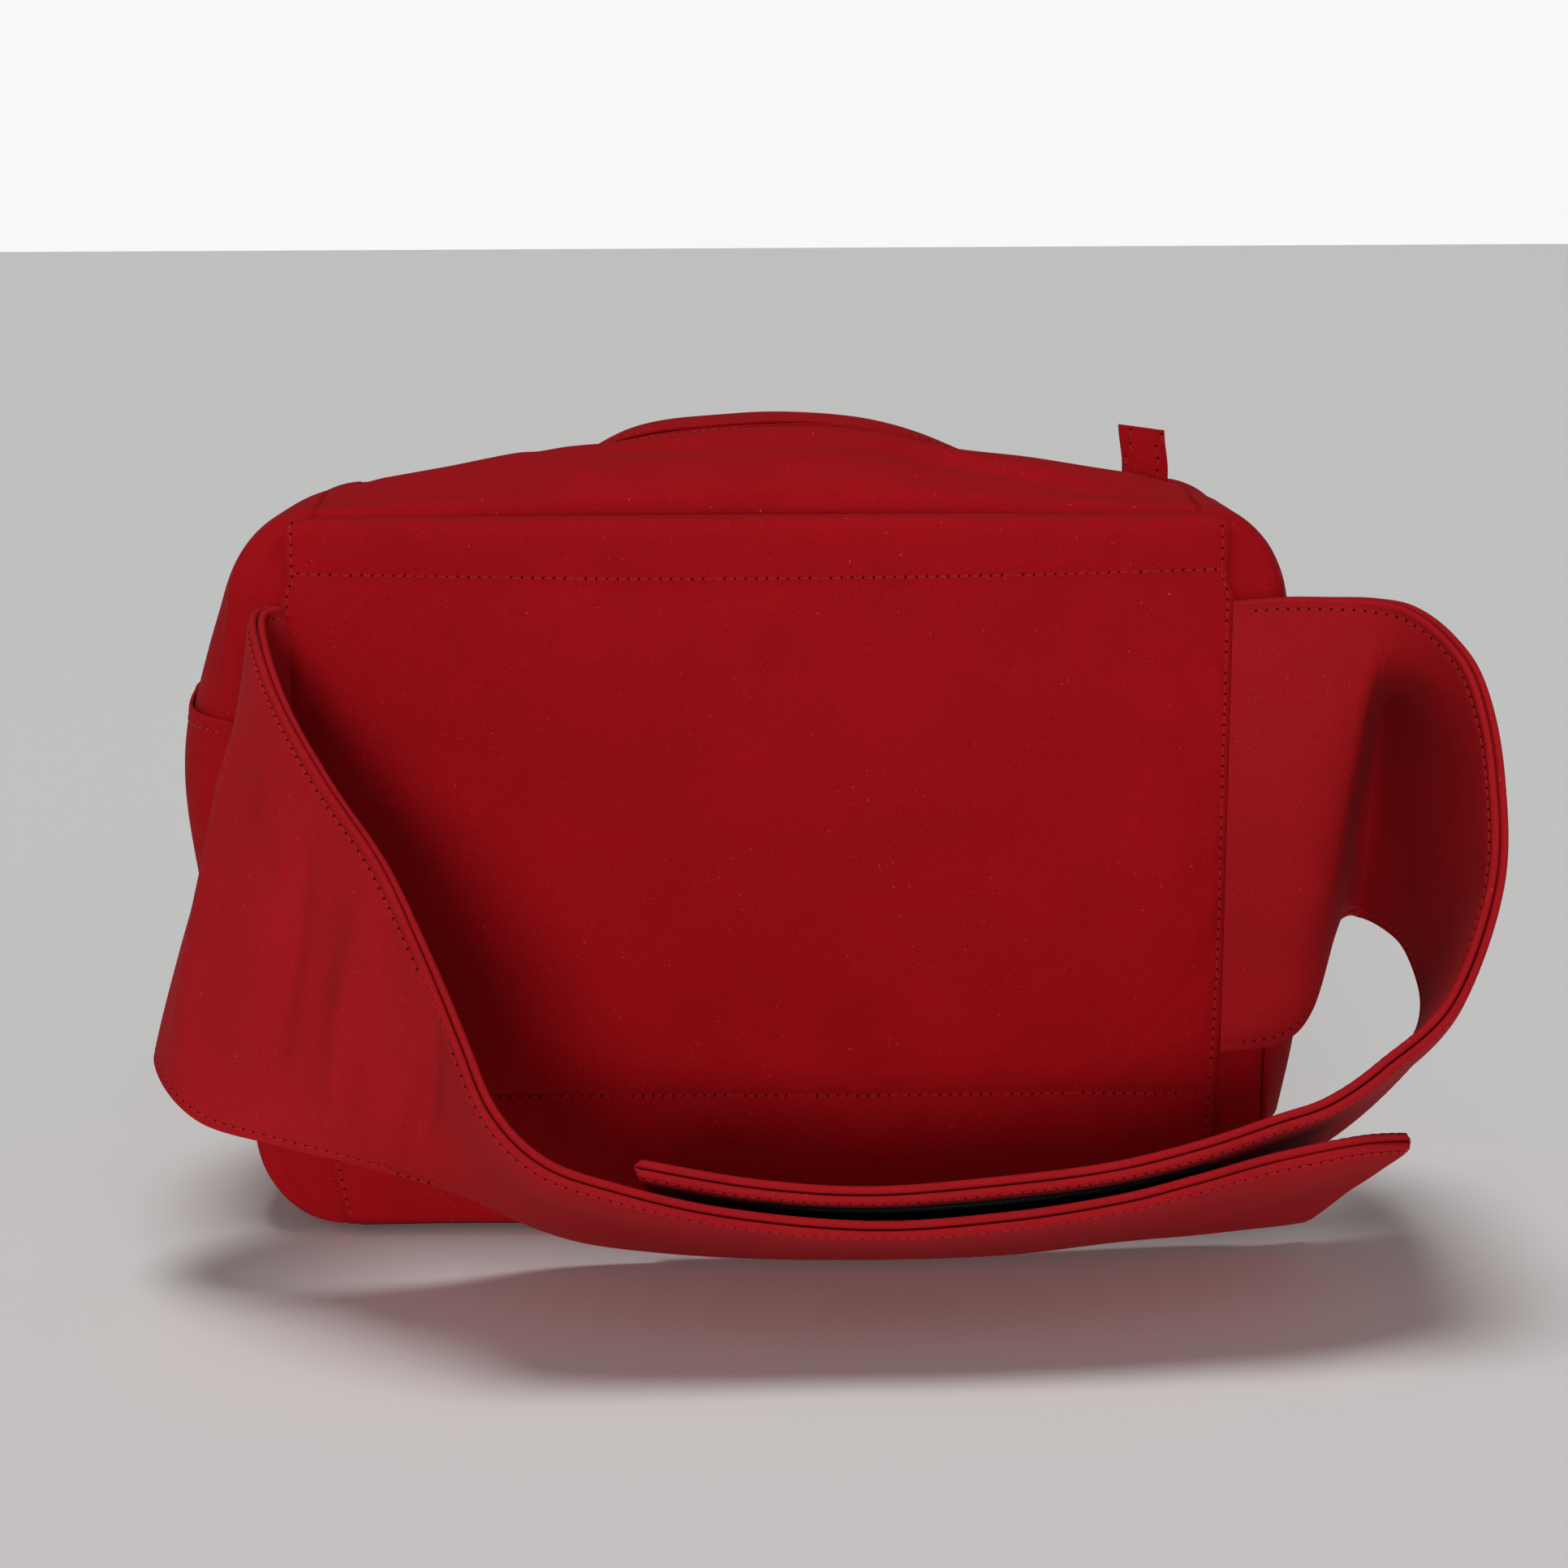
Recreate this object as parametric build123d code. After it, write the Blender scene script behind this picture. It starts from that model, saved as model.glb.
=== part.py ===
"""A soft zip-top sling bag with a wide padded strap in two halves that overlap in a hook-and-loop closure.

The bag stands on its base. +X is to the right of someone looking at its back, the back faces -Y, and +Z is up.
The origin is on the floor, under the middle of the bag.
"""
from build123d import *
from math import asin, degrees
import os

# ---------------------------------------------------------------- driving dimensions, in millimetres
HALF_WIDTH = 177          # back seam, from the middle to a side
TOP_Z = 254.5             # back seam along the top
BASE_Z = 1.6              # back seam along the base
HALF_DEPTH = 57           # from the middle to the back or the front seam
CORNER_RADIUS = 29        # corners of the back and the front
FABRIC = 1.2              # two plies of woven nylon
LINING = 0.6
LINING_GAP = 0.4          # air between the shell and its lining

# Points of the humped top: distance from the middle, and height over the seam where the top swells most.
TOP_HUMP = [(HALF_WIDTH, -2), (150, 2.3), (106, 9), (56, 20)]
RIDGE_RISE = 25           # height of the hump over the seam in the middle
SIDE_BULGE = 17.0         # how far the side gussets swell past the seam
BASE_SAG = 1.0            # how far the base would sag past the floor if the floor weren't there
RIDGE_Y = 22              # the two ridges of the top, one each side of the zip
LIP_Y = 7                 # folded edge of a top strip beside the zip
STRIP_END_X = 150         # seam between the top strips and the side gussets
SIDE_FOOT_Z = 34          # seam between the side gussets and the base gusset

POCKET_TOP_Z = 184
POCKET_FOOT_Z = 38
POCKET_SLACK = 6.5        # how far a side pocket stands off its gusset

OVERLAY_HALF = 160.5      # folded side edge of the padded back overlay
OVERLAY_THICK = 1.6
TAIL_THICK = 4.6          # strap tail or foam, pressed under the overlay
TAIL_TUCK = 12            # width of a strap tail under the overlay
FOAM_FOOT_Z, FOAM_HEAD_Z = 48, 231

STRAP_THICK = 5.6
STRAP_SKIN = 1.0          # each fabric face of the strap
TAPE_THICK = 1.7          # hook or loop tape

ZIP_RADIUS = 560          # the zip lies on a wide arch
ZIP_TOP_Z = 267.5         # top of its tape in the middle
ZIP_LEFT_X, ZIP_RIGHT_X = -134, 128
ZIP_TAPE = 0.8
ZIP_TAPE_OUT, ZIP_TAPE_IN = 15, 1.2
COIL_OUT, COIL_IN, COIL_HIGH = 2.6, 0.8, 1.4
SLIDER_X = 112            # the slider with the zip closed
SLIDER_LONG, SLIDER_WIDE = 10, 8
SLIDER_PLATE = 1.0
AIR = 0.4                 # clearance round the slider and the pull
BRIDGE_LONG, BRIDGE_WIDE, BRIDGE_HIGH, BRIDGE_WALL = 6, 2, 2.2, 0.9
PULL_LONG, PULL_WIDE = 22, 6
PIN_RADIUS = 0.5
PULL_SLOT = 6             # the pull's fork, which straddles the bridge

TAB_X, TAB_WIDE, TAB_HIGH, TAB_THICK = 138, 16.6, 19, 2.4
TAB_FOOT_Z = 259.4        # just over the zip end cover
TAB_LEAN = 8              # degrees, square to the sloping top

BOARD_THICK = 2.0
BINDING = 2.4             # folded seam allowance, its thickness
BINDING_LONG = 7          # and how far it reaches into the bag
BINDING_Y = 55.6
FAR = 400                 # larger than the bag, for cutting boxes

# Strap halves: pairs of points on the upper and the lower edge of the middle layer, from the root to the end.
LEFT_STRAP = [
    ((-161, -61.2, 225), (-161, -61.2, 65)),
    ((-167, -73, 224), (-186, -67, 67)),
    ((-162, -92, 214), (-204, -80, 73)),
    ((-152, -112, 199), (-200, -98, 67)),
    ((-137, -130, 179), (-186, -110, 58)),
    ((-118, -146, 156), (-163, -115, 53)),
    ((-104, -160, 131), (-138, -113, 46)),
    ((-92, -172, 106), (-112, -108, 37)),
    ((-82, -181, 85), (-92, -102, 27)),
    ((-67, -185, 70), (-76, -97, 17)),
    ((-46, -187, 62), (-54, -93, 9)),
    ((-10, -187, 53), (-12, -91, 4)),
    ((36, -186, 48), (38, -91, 3)),
    ((77, -184, 50), (84, -90, 4)),
    ((112, -180, 54), (124, -86, 7)),
    ((137, -176, 59), (150, -83, 8)),
    ((163, -172, 65), (170, -80, 9)),
    ((190, -165, 68), (182, -78, 9.5)),
    ((207, -157, 66), (190, -76, 10)),
]
RIGHT_STRAP = [
    ((161, -61.2, 225), (161, -61.2, 65)),
    ((179, -61.2, 226), (181, -61.2, 68)),
    ((195, -62, 226), (192, -52, 78)),
    ((208, -67, 226), (202, -32, 103)),
    ((219, -76, 224), (208, -6, 101)),
    ((229, -87, 216), (219, 3, 98)),
    ((236, -100, 203), (228.5, -11, 98)),
    ((239, -118, 177), (235, -34, 95)),
    ((236, -135, 144), (236.5, -53, 81)),
    ((220, -152, 110), (230, -64, 69)),
    ((197, -160, 91), (217, -71, 56)),
    ((180, -163, 80), (199, -76, 42)),
    ((163, -166, 75), (178, -79, 29)),
    ((140, -171, 69), (154, -79, 19)),
    ((111, -175, 63), (124, -81, 16)),
    ((77, -179, 60), (84, -85, 14)),
    ((36, -181, 57.5), (38, -86, 13.5)),
    ((-1, -182, 60.5), (0, -87, 14)),
    ((-38, -182, 67.5), (-36, -89, 18)),
]
LEFT_FOLD, RIGHT_FOLD = 2, 5        # station where each half folds outwards
FOLD_GAP = 0.02                     # share of the next stretch that is left free at the fold
FOLD_OFF = 0.4                      # distance of the fold's axis from the outer face
LEFT_TAPE = (11, 15)                # stations between which the closure tapes lie
RIGHT_TAPE = (13, 17)
TAPE_INSET = 0.12                   # share of the strap's width left bare at each edge

# ---------------------------------------------------------------- the swelling shell
# Share of the full swell that the gusset has at each depth, from the back seam to the front seam.
SEAM = 0.01               # next to nothing at a seam, so that every outline has the same arcs
SWELL = [(-57, SEAM), (-44, 0.62), (-RIDGE_Y, 1.0), (-LIP_Y, 0.96)]
SWELL += [(-y, swell) for y, swell in SWELL[::-1]]


def outline(swell, inset, extra_side=0.0, y=0.0):
    """Closed face of the bag's outline at depth y: arched top, swelling sides, flat base, round corners."""
    half = HALF_WIDTH - inset
    crown = [(half if x == HALF_WIDTH else x, TOP_Z - inset + rise * swell) for x, rise in TOP_HUMP]
    top = crown[0][1]
    peak = (0, TOP_Z - inset + RIDGE_RISE * swell)
    side = half + (SIDE_BULGE + extra_side) * swell
    base = BASE_Z - (BASE_Z + BASE_SAG) * swell + inset
    middle_z = (TOP_Z + BASE_Z) / 2
    corner = CORNER_RADIUS - inset
    with BuildSketch(Plane.XZ.offset(-y)) as sketch:
        with BuildLine():
            Spline([(-x, z) for x, z in crown] + [peak] + crown[::-1])
            ThreePointArc((half, top), (side, middle_z), (half, base))
            Line((half, base), (-half, base))
            ThreePointArc((-half, base), (-side, middle_z), (-half, top))
        make_face()
        fillet(sketch.vertices(), corner)
    return sketch.sketch.face()


def swollen(inset, extra_side=0.0):
    """Solid bag form, inset from the outside of the fabric, and flat where it stands on its base."""
    form = loft([outline(swell, inset, extra_side, y) for y, swell in SWELL])
    return form & block(-FAR, FAR, -FAR, FAR, max(inset, 0), FAR)


def block(x0, x1, y0, y1, z0, z1):
    """Box between two corners."""
    centre = Pos((x0 + x1) / 2, (y0 + y1) / 2, (z0 + z1) / 2)
    return centre * Box(x1 - x0, y1 - y0, z1 - z0)


def arch(low, high, x0, x1, y0, y1):
    """Strip that follows the zip's arch, between two heights over the top of its tape."""
    turn = Pos(0, (y0 + y1) / 2, ZIP_TOP_Z - ZIP_RADIUS) * Rot(90, 0, 0)
    ring = Cylinder(ZIP_RADIUS + high, y1 - y0) - Cylinder(ZIP_RADIUS + low, y1 - y0)
    return (turn * ring) & block(x0, x1, y0, y1, 0, FAR)


def save(shape, name):
    """Write one sub-part."""
    export_step(shape, f"parts/{name}.step")
    print(name, round(shape.volume))


os.makedirs("parts", exist_ok=True)
outside = swollen(0)
inside = swollen(FABRIC)
shell = outside - inside
lining_room = swollen(FABRIC + LINING_GAP)
lining_inside = swollen(FABRIC + LINING_GAP + LINING)

# ---------------------------------------------------------------- shell: top strips, gussets, panels
for name, side in (("rear", -1), ("front", 1)):
    near, far = sorted((side * LIP_Y, side * HALF_DEPTH))
    strip = shell & block(-STRIP_END_X, STRIP_END_X, near, far, 200, FAR)
    lip_low, lip_high = sorted((side * LIP_Y, side * (LIP_Y + FABRIC)))
    lip = outside & block(ZIP_LEFT_X, ZIP_RIGHT_X, lip_low, lip_high, 200, FAR)
    lip -= arch(-120, 0, -FAR, FAR, lip_low - 1, lip_high + 1)
    save(strip + lip, f"top_strip_{name}")

middle = shell & block(-STRIP_END_X, STRIP_END_X, -LIP_Y, LIP_Y, 200, FAR)
save(middle & block(-STRIP_END_X, ZIP_LEFT_X, -LIP_Y, LIP_Y, 200, FAR), "zip_end_cover_left")
save(middle & block(ZIP_RIGHT_X, STRIP_END_X, -LIP_Y, LIP_Y, 200, FAR), "zip_end_cover_right")

ends = shell - block(-STRIP_END_X, STRIP_END_X, -HALF_DEPTH, HALF_DEPTH, 200, FAR)
save(ends & block(-FAR, 0, -FAR, FAR, SIDE_FOOT_Z, FAR), "side_gusset_left")
save(ends & block(0, FAR, -FAR, FAR, SIDE_FOOT_Z, FAR), "side_gusset_right")
save(ends & block(-FAR, FAR, -FAR, FAR, 0, SIDE_FOOT_Z), "base_gusset")

back_face = -HALF_DEPTH - FABRIC
save(extrude(outline(SEAM, 0, y=-HALF_DEPTH), FABRIC), "back_panel")
save(extrude(outline(SEAM, 0, y=HALF_DEPTH), -FABRIC), "front_panel")

# ---------------------------------------------------------------- side pockets on the gussets
pocket_skin = swollen(-FABRIC, POCKET_SLACK) - swollen(-0.05, POCKET_SLACK)
pocket_floor = swollen(-FABRIC, POCKET_SLACK) - swollen(-0.05)
for name, x0, x1 in (("left", -FAR, -STRIP_END_X), ("right", STRIP_END_X, FAR)):
    wall = pocket_skin & block(x0, x1, -HALF_DEPTH, HALF_DEPTH, POCKET_FOOT_Z, POCKET_TOP_Z)
    floor = pocket_floor & block(x0, x1, -HALF_DEPTH, HALF_DEPTH, POCKET_FOOT_Z, POCKET_FOOT_Z + FABRIC)
    save(wall + floor, f"side_pocket_{name}")

# ---------------------------------------------------------------- inside: lining, board, seam bindings
lining = (lining_room - lining_inside) & block(-FAR, FAR, -HALF_DEPTH, HALF_DEPTH, 0, 236)
save(lining, "lining_gusset")
LINING_FACE = HALF_DEPTH - LINING_GAP
inner_outline = outline(SEAM, FABRIC + BINDING + 1, y=-LINING_FACE)
save(extrude(inner_outline, -LINING), "lining_back")
inner_outline = outline(SEAM, FABRIC + BINDING + 1, y=LINING_FACE)
save(extrude(inner_outline, LINING), "lining_front")

board_z = BASE_Z + FABRIC + LINING_GAP + LINING + 0.3
save(block(-150, 150, -45, 45, board_z, board_z + BOARD_THICK), "base_board")


def binding(y0, y1):
    """Bound seam allowance that runs round the inside of a seam."""
    ring = outline(SEAM, FABRIC + LINING_GAP + LINING + 0.2, y=y0)
    hole = outline(SEAM, FABRIC + LINING_GAP + LINING + 0.2 + BINDING, y=y0)
    return extrude(ring - hole, -(y1 - y0))


save(binding(-BINDING_Y, BINDING_LONG - BINDING_Y), "seam_binding_back")
save(binding(BINDING_Y - BINDING_LONG, BINDING_Y), "seam_binding_front")

# ---------------------------------------------------------------- back: overlay, its foam, the strap tails
overlay_outline = outline(SEAM, 0.4, y=back_face - TAIL_THICK)
overlay = extrude(overlay_outline, OVERLAY_THICK) & block(-OVERLAY_HALF, OVERLAY_HALF, -FAR, 0, 0, FAR)
save(overlay, "back_overlay")
tuck_x = OVERLAY_HALF - TAIL_TUCK
foam = block(-tuck_x + 1, tuck_x - 1, back_face - TAIL_THICK, back_face, FOAM_FOOT_Z, FOAM_HEAD_Z)
save(foam, "back_foam")
tail = block(tuck_x, OVERLAY_HALF, back_face - TAIL_THICK, back_face, 66, 224)
save(tail, "strap_tail_right")
save(mirror(tail, Plane.YZ), "strap_tail_left")

# ---------------------------------------------------------------- strap halves
def between(first, second, share):
    """Station part of the way between two stations."""
    return tuple(Vector(a) + (Vector(b) - Vector(a)) * share for a, b in zip(first, second))


def sections(stations, start, stop, fold_gap=0.0):
    """Stations from start to stop with the outward normal of each; a fold gap moves the first one on."""
    found = []
    side = -1 if stations is RIGHT_STRAP else 1
    for index in range(start, stop + 1):
        upper, lower = (Vector(point) for point in stations[index])
        before = stations[max(index - 1, 0)]
        after = stations[min(index + 1, len(stations) - 1)]
        along = Vector(after[0]) + Vector(after[1]) - Vector(before[0]) - Vector(before[1])
        if index == 0:
            along = Vector(-side, 0, 0)
        found.append((upper, lower, along))
    if fold_gap:
        upper, lower = between(stations[start], stations[start + 1], fold_gap)
        found[0] = (upper, lower, found[0][2])
    return [(u, l, (l - u).cross(a).normalized() * side) for u, l, a in found]


def band(rows, low, high, inset=0.0):
    """Ruled band between two heights over the strap's middle layer, along rows of upper, lower, normal."""
    faces = []
    for upper, lower, normal in rows:
        trim = (lower - upper) * inset
        a, b = upper + trim, lower - trim
        corners = [a + normal * low, a + normal * high, b + normal * high, b + normal * low]
        faces.append(Face(Wire.make_polygon(corners)))
    return Solid.make_loft([face.outer_wire() for face in faces], True)


half = STRAP_THICK / 2
core = half - STRAP_SKIN
layers = {"outer": (core, half), "foam": (-core, core), "inner": (-half, -core)}
last = len(LEFT_STRAP) - 1
for name, stations, fold in (("left", LEFT_STRAP, LEFT_FOLD), ("right", RIGHT_STRAP, RIGHT_FOLD)):
    root = sections(stations, 0, fold)
    swing = sections(stations, fold, last, FOLD_GAP)
    for layer, (low, high) in layers.items():
        save(band(root, low, high), f"strap_root_{name}_{layer}")
        save(band(swing, low, high), f"strap_{name}_{layer}")

tape = sections(RIGHT_STRAP, *RIGHT_TAPE)
save(band(tape, half, half + TAPE_THICK, TAPE_INSET), "hook_tape")
tape = sections(LEFT_STRAP, *LEFT_TAPE)
save(band(tape, -half - TAPE_THICK, -half, TAPE_INSET), "loop_tape")

# ---------------------------------------------------------------- zip
for name, side in (("rear", -1), ("front", 1)):
    near, far = sorted((side * ZIP_TAPE_IN, side * ZIP_TAPE_OUT))
    save(arch(-ZIP_TAPE, 0, ZIP_LEFT_X, ZIP_RIGHT_X, near, far), f"zip_tape_{name}")
    near, far = sorted((side * COIL_IN, side * COIL_OUT))
    coil = arch(0, COIL_HIGH, ZIP_LEFT_X + 6, ZIP_RIGHT_X - 4, near, far)
    save(coil, f"zip_coil_{name}")


def on_arch(x, shape):
    """Place a shape, modelled over the middle of the zip, at x along the arch."""
    centre = Pos(0, 0, ZIP_TOP_Z - ZIP_RADIUS)
    return centre * Rot(0, degrees(asin(x / ZIP_RADIUS)), 0) * Pos(0, 0, ZIP_RADIUS) * shape


stop = block(-1.5, 1.5, -COIL_OUT, COIL_OUT, 0, COIL_HIGH + 0.6)
save(on_arch(ZIP_RIGHT_X - 2, stop), "zip_stop_right")
save(on_arch(ZIP_LEFT_X + 4, stop), "zip_stop_left")

# The slider is modelled over the middle of the zip, with its nose towards +X, and then put on the arch.
plate_low = COIL_HIGH + AIR
plate_high = plate_low + SLIDER_PLATE
long, wide = SLIDER_LONG / 2, SLIDER_WIDE / 2
slider = block(-long, long, -wide, wide, plate_low, plate_high)
slider += block(-long, long, -wide, wide, -ZIP_TAPE - AIR - SLIDER_PLATE, -ZIP_TAPE - AIR)
slider += block(long - 2, long, -COIL_IN + 0.3, COIL_IN - 0.3, -ZIP_TAPE - AIR, plate_low)
for side in (-1, 1):
    edge, inner = side * wide, side * (wide - 0.7)
    slider += block(-long, long, min(edge, inner), max(edge, inner), AIR, plate_low)
outer_edges = slider.edges().filter_by(Axis.Z).filter_by(lambda edge: abs(edge.center().Y) > wide - 0.1)
slider = fillet(outer_edges, 0.3)
save(on_arch(SLIDER_X, slider), "slider_body")

bridge_x, bridge_y = BRIDGE_LONG / 2, BRIDGE_WIDE / 2
bridge = block(-bridge_x, bridge_x, -bridge_y, bridge_y, plate_high, plate_high + BRIDGE_HIGH)
hollow = bridge_x - BRIDGE_WALL
bridge -= block(-hollow, hollow, -bridge_y, bridge_y, plate_high, plate_high + BRIDGE_HIGH - BRIDGE_WALL)
save(on_arch(SLIDER_X, bridge), "slider_bridge")

pin_z = plate_high + PIN_RADIUS + 0.15
pull = block(-PULL_LONG, 0, -PULL_WIDE / 2, PULL_WIDE / 2, pin_z - PIN_RADIUS, pin_z + PIN_RADIUS)
pull -= block(-PULL_SLOT, 1, -bridge_y - AIR, bridge_y + AIR, 0, pin_z + 2)
pull += Pos(0, 0, pin_z) * Rot(90, 0, 0) * Cylinder(PIN_RADIUS, PULL_WIDE)
pull = fillet(pull.edges().filter_by(Axis.Z).group_by(Axis.X)[0], 2)
save(on_arch(SLIDER_X, pull), "zip_pull")
pin = on_arch(SLIDER_X, Pos(0, 0, pin_z) * Sphere(0.1)).center()
print("pull pin at", pin)

# ---------------------------------------------------------------- fabric tab at the end of the zip
tab = block(-TAB_WIDE / 2, TAB_WIDE / 2, -TAB_THICK / 2, TAB_THICK / 2, 0, TAB_HIGH)
tab = fillet(tab.edges().filter_by(Axis.X).group_by(Axis.Z)[-1], 0.8)
save(Pos(TAB_X, 0, TAB_FOOT_Z) * Rot(0, TAB_LEAN, 0) * tab, "zip_tab")

# Axis of each strap half's fold: a ruling of the strap, just off its outer face.
for name, stations, fold in (("left", LEFT_STRAP, LEFT_FOLD), ("right", RIGHT_STRAP, RIGHT_FOLD)):
    upper, lower, normal = sections(stations, fold, fold)[0]
    hinge = (upper + lower) / 2 + normal * (half + FOLD_OFF)
    print(name, "fold through", hinge, "along", (upper - lower).normalized())
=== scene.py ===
# %% [markdown]
# # A red sling bag with a wide two-part strap
# The bag stands on its base with its back and its strap towards us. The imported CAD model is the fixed
# frame: it holds every size and every hinge. Blender only adds the looks, so each soft piece here is
# rebuilt over its CAD solid. All lengths are in metres, +X is to the right, the back faces -Y and +Z is up.

# %% Load the frame
import bpy
import numpy as np
from mathutils import Matrix, Vector, noise
from mathutils.bvhtree import BVHTree


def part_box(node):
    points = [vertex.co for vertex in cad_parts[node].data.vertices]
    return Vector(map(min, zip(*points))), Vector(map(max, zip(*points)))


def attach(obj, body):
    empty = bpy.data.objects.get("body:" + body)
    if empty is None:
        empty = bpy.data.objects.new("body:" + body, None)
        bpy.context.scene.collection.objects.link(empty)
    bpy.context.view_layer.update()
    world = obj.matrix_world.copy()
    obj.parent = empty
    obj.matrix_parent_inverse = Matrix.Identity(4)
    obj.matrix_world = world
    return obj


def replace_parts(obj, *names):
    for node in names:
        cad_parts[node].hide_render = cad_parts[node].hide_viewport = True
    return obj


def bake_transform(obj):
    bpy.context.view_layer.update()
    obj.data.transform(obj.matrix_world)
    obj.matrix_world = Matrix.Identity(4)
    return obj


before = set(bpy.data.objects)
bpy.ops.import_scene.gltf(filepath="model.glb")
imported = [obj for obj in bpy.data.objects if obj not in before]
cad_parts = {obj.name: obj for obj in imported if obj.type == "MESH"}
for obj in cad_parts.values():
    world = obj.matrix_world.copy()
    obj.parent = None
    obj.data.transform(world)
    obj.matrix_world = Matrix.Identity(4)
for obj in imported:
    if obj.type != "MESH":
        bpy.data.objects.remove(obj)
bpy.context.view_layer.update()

# %% [markdown]
# ## Camera
# The bag is seen from a little above its top edge, from about a metre away, so the lens is a short
# telephoto. A camera looks along its own -Z, so its matrix is built from three directions: right, up and
# back. A slight roll tilts the frame as a hand-held shot does.

# %% Camera
camera_data = bpy.data.cameras.new("camera")
camera_data.lens, camera_data.sensor_width = 63.2, 36
camera_data.clip_start, camera_data.clip_end = 0.05, 30
camera = bpy.data.objects.new("camera", camera_data)
bpy.context.collection.objects.link(camera)
look_down, roll = np.radians(12.0), np.radians(-0.3)
turn = Matrix.Rotation(np.pi / 2 - look_down, 4, "X") @ Matrix.Rotation(roll, 4, "Z")
camera.matrix_world = Matrix.Translation((0.0088, -0.9870, 0.3588)) @ turn
bpy.context.scene.camera = camera
print("camera at", [round(x, 3) for x in camera.location])

# %% [markdown]
# ## Studio
# A pale floor that is much larger than the bag, a low key light from the front left, a weak fill from the
# front, a light from above and a faint even world. The lights are suns with a wide disc: their shadows are
# soft, as cloth needs to show its folds, and they light the whole floor evenly. The low key lets the strap
# throw its shadow on the back. The world looks paler than it shines, so that the floor ends without a hard
# line behind the bag.

# %% Floor and lights
bpy.context.scene.view_settings.view_transform = "Standard"
bpy.ops.object.select_all(action="DESELECT")
bpy.ops.mesh.primitive_plane_add(size=40, location=(0, 0, 0))
floor = bpy.context.object
floor.name = "floor"
floor.data.transform(Matrix.Translation((0, 0, -0.0004)))
floor_paint = bpy.data.materials.new("pale_floor")
floor_paint.use_nodes = True
floor_shader = floor_paint.node_tree.nodes["Principled BSDF"]
floor_shader.inputs["Base Color"].default_value = (0.86, 0.86, 0.855, 1)
floor_shader.inputs["Roughness"].default_value = 0.75
floor.data.materials.append(floor_paint)


def broad_sun(name, travel, disc, power):
    """Sun whose light travels in a direction, with a wide disc in degrees for soft shadows."""
    bpy.ops.object.light_add(type="SUN", location=-Vector(travel) * 2)
    sun = bpy.context.object
    sun.name = name
    sun.data.energy, sun.data.angle = power, np.radians(disc)
    sun.rotation_euler = Vector(travel).to_track_quat("-Z", "Y").to_euler()


broad_sun("key", (0.12, 0.985, -0.10), 22, 1.62)
broad_sun("front_fill", (-0.05, 1.0, -0.30), 100, 0.42)
broad_sun("top", (0.05, -0.12, -1.0), 24, 1.35)
world = bpy.data.worlds.new("studio")
bpy.context.scene.world = world
world.use_nodes = True
sky, sky_links = world.node_tree.nodes, world.node_tree.links
sky["Background"].inputs["Color"].default_value = (1.0, 0.99, 0.98, 1)
path, level = sky.new("ShaderNodeLightPath"), sky.new("ShaderNodeMapRange")
level.inputs["To Min"].default_value, level.inputs["To Max"].default_value = 0.11, 0.95
sky_links.new(path.outputs["Is Camera Ray"], level.inputs["Value"])
sky_links.new(level.outputs[0], sky["Background"].inputs["Strength"])

# %% [markdown]
# ## Woven nylon
# The whole bag is one dense, matt red nylon. What makes it cloth is small: a fine plain weave, threads that
# differ a little in colour, a few bright dots painted into the colour as glints where a filament catches
# the light, and a pale brownish bloom where the surface turns away. The weave is a bump of two crossed sine
# waves that follow the piece's own UV map, whose units are metres, so the threads run along each cut piece.
# Colour variation and the painted glints read Object coordinates. The bloom is the shader's sheen, set
# straight on its socket.

# %% Cloth material
# Painted highlight: colour of the bright glints mixed into the cloth where a filament would catch the light.
PAINTED_GLINT_COLOUR = (0.46, 0.06, 0.06)


def shader_of(material):
    """The material's nodes, links and main shader."""
    material.use_nodes = True
    tree = material.node_tree
    return tree.nodes, tree.links, tree.nodes["Principled BSDF"]


def math_node(nodes, links, kind, first, second):
    """Math node of two inputs, each a socket or a number."""
    node = nodes.new("ShaderNodeMath")
    node.operation = kind
    for socket, value in zip(node.inputs, (first, second)):
        if isinstance(value, (int, float)):
            socket.default_value = value
        else:
            links.new(value, socket)
    return node.outputs[0]


def noise_on(nodes, links, place, scale, detail=2):
    """Noise that reads the coordinates of a socket."""
    node = nodes.new("ShaderNodeTexNoise")
    node.inputs["Scale"].default_value, node.inputs["Detail"].default_value = scale, detail
    links.new(place, node.inputs["Vector"])
    return node.outputs[0]


def remap(nodes, links, value, before, after=(0, 1)):
    """Value moved from one range to another."""
    node = nodes.new("ShaderNodeMapRange")
    node.inputs["From Min"].default_value, node.inputs["From Max"].default_value = before
    node.inputs["To Min"].default_value, node.inputs["To Max"].default_value = after
    links.new(value, node.inputs["Value"])
    return node.outputs[0]


def mix_colour(nodes, links, share, first, second):
    """Mix of two colours, each a socket or three numbers."""
    node = nodes.new("ShaderNodeMixRGB")
    links.new(share, node.inputs["Fac"])
    for socket, value in zip((node.inputs["Color1"], node.inputs["Color2"]), (first, second)):
        if isinstance(value, tuple):
            socket.default_value = (*value, 1)
        else:
            links.new(value, socket)
    return node.outputs[0]


def raise_surface(nodes, links, shader, height, strength, distance):
    """Bump from a height, set on the shader's normal."""
    bump = nodes.new("ShaderNodeBump")
    bump.inputs["Strength"].default_value, bump.inputs["Distance"].default_value = strength, distance
    links.new(height, bump.inputs["Height"])
    links.new(bump.outputs[0], shader.inputs["Normal"])


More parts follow.
